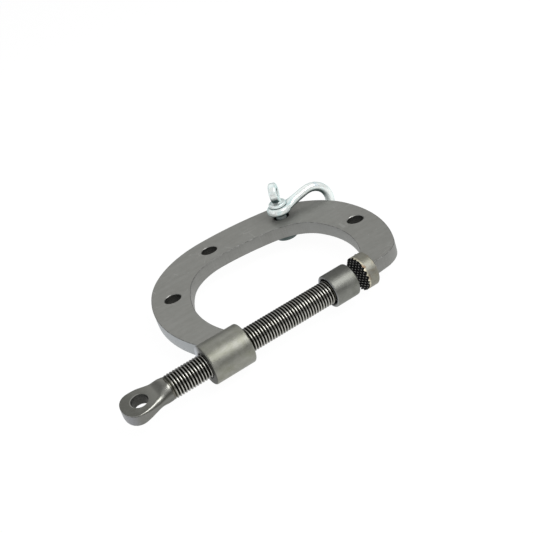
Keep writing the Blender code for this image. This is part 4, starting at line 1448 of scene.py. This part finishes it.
# ================================================================ floor
def floor_material():
    """Near-white to the camera; to other rays a dim glow that fades towards -Y."""
    material = bpy.data.materials.new("pale_floor")
    material.use_nodes = True
    tree = material.node_tree
    tree.nodes.remove(tree.nodes["Principled BSDF"])
    white = (1, 1, 1)

    def mix_shaders(share, first, second):
        node = tree.nodes.new("ShaderNodeMixShader")
        for socket, value in zip(node.inputs, (share, first.outputs[0], second.outputs[0])):
            feed(tree, socket, value)
        return node

    cloud = add_node(tree, "ShaderNodeTexNoise", Scale=3.0)
    tone = add_ramp(tree, cloud.outputs["Fac"],
                    [(0.0, (0.87, 0.87, 0.87)), (1.0, (0.90, 0.90, 0.895))])
    diffuse = add_node(tree, "ShaderNodeBsdfDiffuse", Color=(0.88, 0.88, 0.88))
    feed(tree, diffuse.inputs["Color"], tone)
    lit = add_node(tree, "ShaderNodeEmission", Color=white, Strength=1.06)
    seen = mix_shaders(0.10, lit, diffuse)

    position = tree.nodes.new("ShaderNodeNewGeometry").outputs["Position"]
    split = add_node(tree, "ShaderNodeSeparateXYZ", Vector=position)
    fade = add_node(tree, "ShaderNodeMapRange", Value=split.outputs[1], From_Min=-0.05,
                    From_Max=-0.24, To_Min=0.64, To_Max=0.06)
    fade.interpolation_type = "SMOOTHSTEP"
    glow = add_node(tree, "ShaderNodeEmission", Color=white, Strength=1.0)
    feed(tree, glow.inputs["Strength"], fade.outputs["Result"])
    dark = add_node(tree, "ShaderNodeBsdfDiffuse", Color=(0.30, 0.30, 0.30))
    bounced = tree.nodes.new("ShaderNodeAddShader")
    feed(tree, bounced.inputs[0], glow.outputs[0])
    feed(tree, bounced.inputs[1], dark.outputs[0])

    rays = tree.nodes.new("ShaderNodeLightPath")
    surface = mix_shaders(rays.outputs["Is Camera Ray"], bounced, seen)
    feed(tree, tree.nodes["Material Output"].inputs["Surface"], surface.outputs[0])
    return material


def build_floor():
    """Large square, half a millimetre below the lowest point."""
    half = 8
    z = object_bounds()[0][2] - 0.0005
    shape = bmesh.new()
    for x, y in ((-half, -half), (half, -half), (half, half), (-half, half)):
        shape.verts.new((x, y, z))
    shape.faces.new(shape.verts)
    mesh = bpy.data.meshes.new("floor")
    shape.to_mesh(mesh)
    shape.free()
    mesh.materials.append(floor_material())
    floor = bpy.data.objects.new("floor", mesh)
    scene.collection.objects.link(floor)


# ================================================================ world, lights, camera
# (position from straight down 0 to straight up 1, grey level)
SKY = ((0.0, 0.12), (0.50, 0.14), (0.58, 0.26), (0.74, 0.46), (1.0, 0.44))
LIGHTS_AT = Vector((-0.07, 0.08, 0.0))      # point the lights aim at, metres


def build_world():
    """Grey sky, paler overhead; plain white to the camera."""
    world = bpy.data.worlds.new("studio")
    scene.world = world
    world.use_nodes = True
    tree = world.node_tree
    view = tree.nodes.new("ShaderNodeTexCoord").outputs["Generated"]
    split = add_node(tree, "ShaderNodeSeparateXYZ", Vector=view)
    height = add_node(tree, "ShaderNodeMapRange", Value=split.outputs[2],
                      From_Min=-1, From_Max=1)
    sky = add_ramp(tree, height.outputs["Result"],
                   [(position, (grey, grey, grey * 1.01)) for position, grey in SKY])
    rays = tree.nodes.new("ShaderNodeLightPath")
    colour = add_colour_mix(tree, rays.outputs["Is Camera Ray"], sky, (1, 1, 1))
    background = tree.nodes["Background"]
    feed(tree, background.inputs["Color"], colour)
    background.inputs["Strength"].default_value = 1.0


def add_area(name, towards, distance, size, power, colour=(1, 1, 1)):
    """Rectangular light; towards points from the aim to the light, sizes in metres."""
    light = bpy.data.lights.new(name, "AREA")
    light.shape = "RECTANGLE"
    light.size, light.size_y = size
    light.energy = power
    light.color = colour
    lamp = bpy.data.objects.new(name, light)
    towards = Vector(towards).normalized()
    lamp.location = LIGHTS_AT + towards * distance
    lamp.rotation_euler = towards.to_track_quat("Z", "Y").to_euler()
    scene.collection.objects.link(lamp)


def build_camera():
    place = (-0.370593, -0.682317, 0.447384)
    azimuth, elevation, roll = (math.radians(a) for a in (-22.5393, 27.7815, -18.9018))
    camera = bpy.data.cameras.new("camera")
    camera.sensor_width = 36.0
    camera.lens = 62.1676773
    camera.clip_start, camera.clip_end = 0.01, 60
    back = Vector((math.sin(azimuth) * math.cos(elevation),
                   -math.cos(azimuth) * math.cos(elevation), math.sin(elevation)))
    right = (-back).cross(Vector((0, 0, 1))).normalized()
    up = right.cross(-back)
    rolled_right = right * math.cos(roll) + up * math.sin(roll)
    rolled_up = -right * math.sin(roll) + up * math.cos(roll)
    holder = bpy.data.objects.new("camera", camera)
    rows = zip(rolled_right, rolled_up, back, place)
    holder.matrix_world = Matrix((*rows, (0, 0, 0, 1)))
    scene.collection.objects.link(holder)
    scene.camera = holder


scene = bpy.context.scene
scene.view_settings.view_transform = "Standard"
scene.view_settings.look = "None"
build_floor()
build_world()
add_area("key", towards=(0.34, -0.60, 0.73), distance=1.4, size=(1.15, 0.85), power=10.0)
add_area("back_fill", towards=(0.0, 0.60, 0.80), distance=1.8, size=(1.6, 1.6), power=3.0)
add_area("left_fill", towards=(-0.93, 0.05, 0.22), distance=1.3, size=(0.8, 0.45), power=1.8,
         colour=(0.88, 0.94, 1.0))
build_camera()
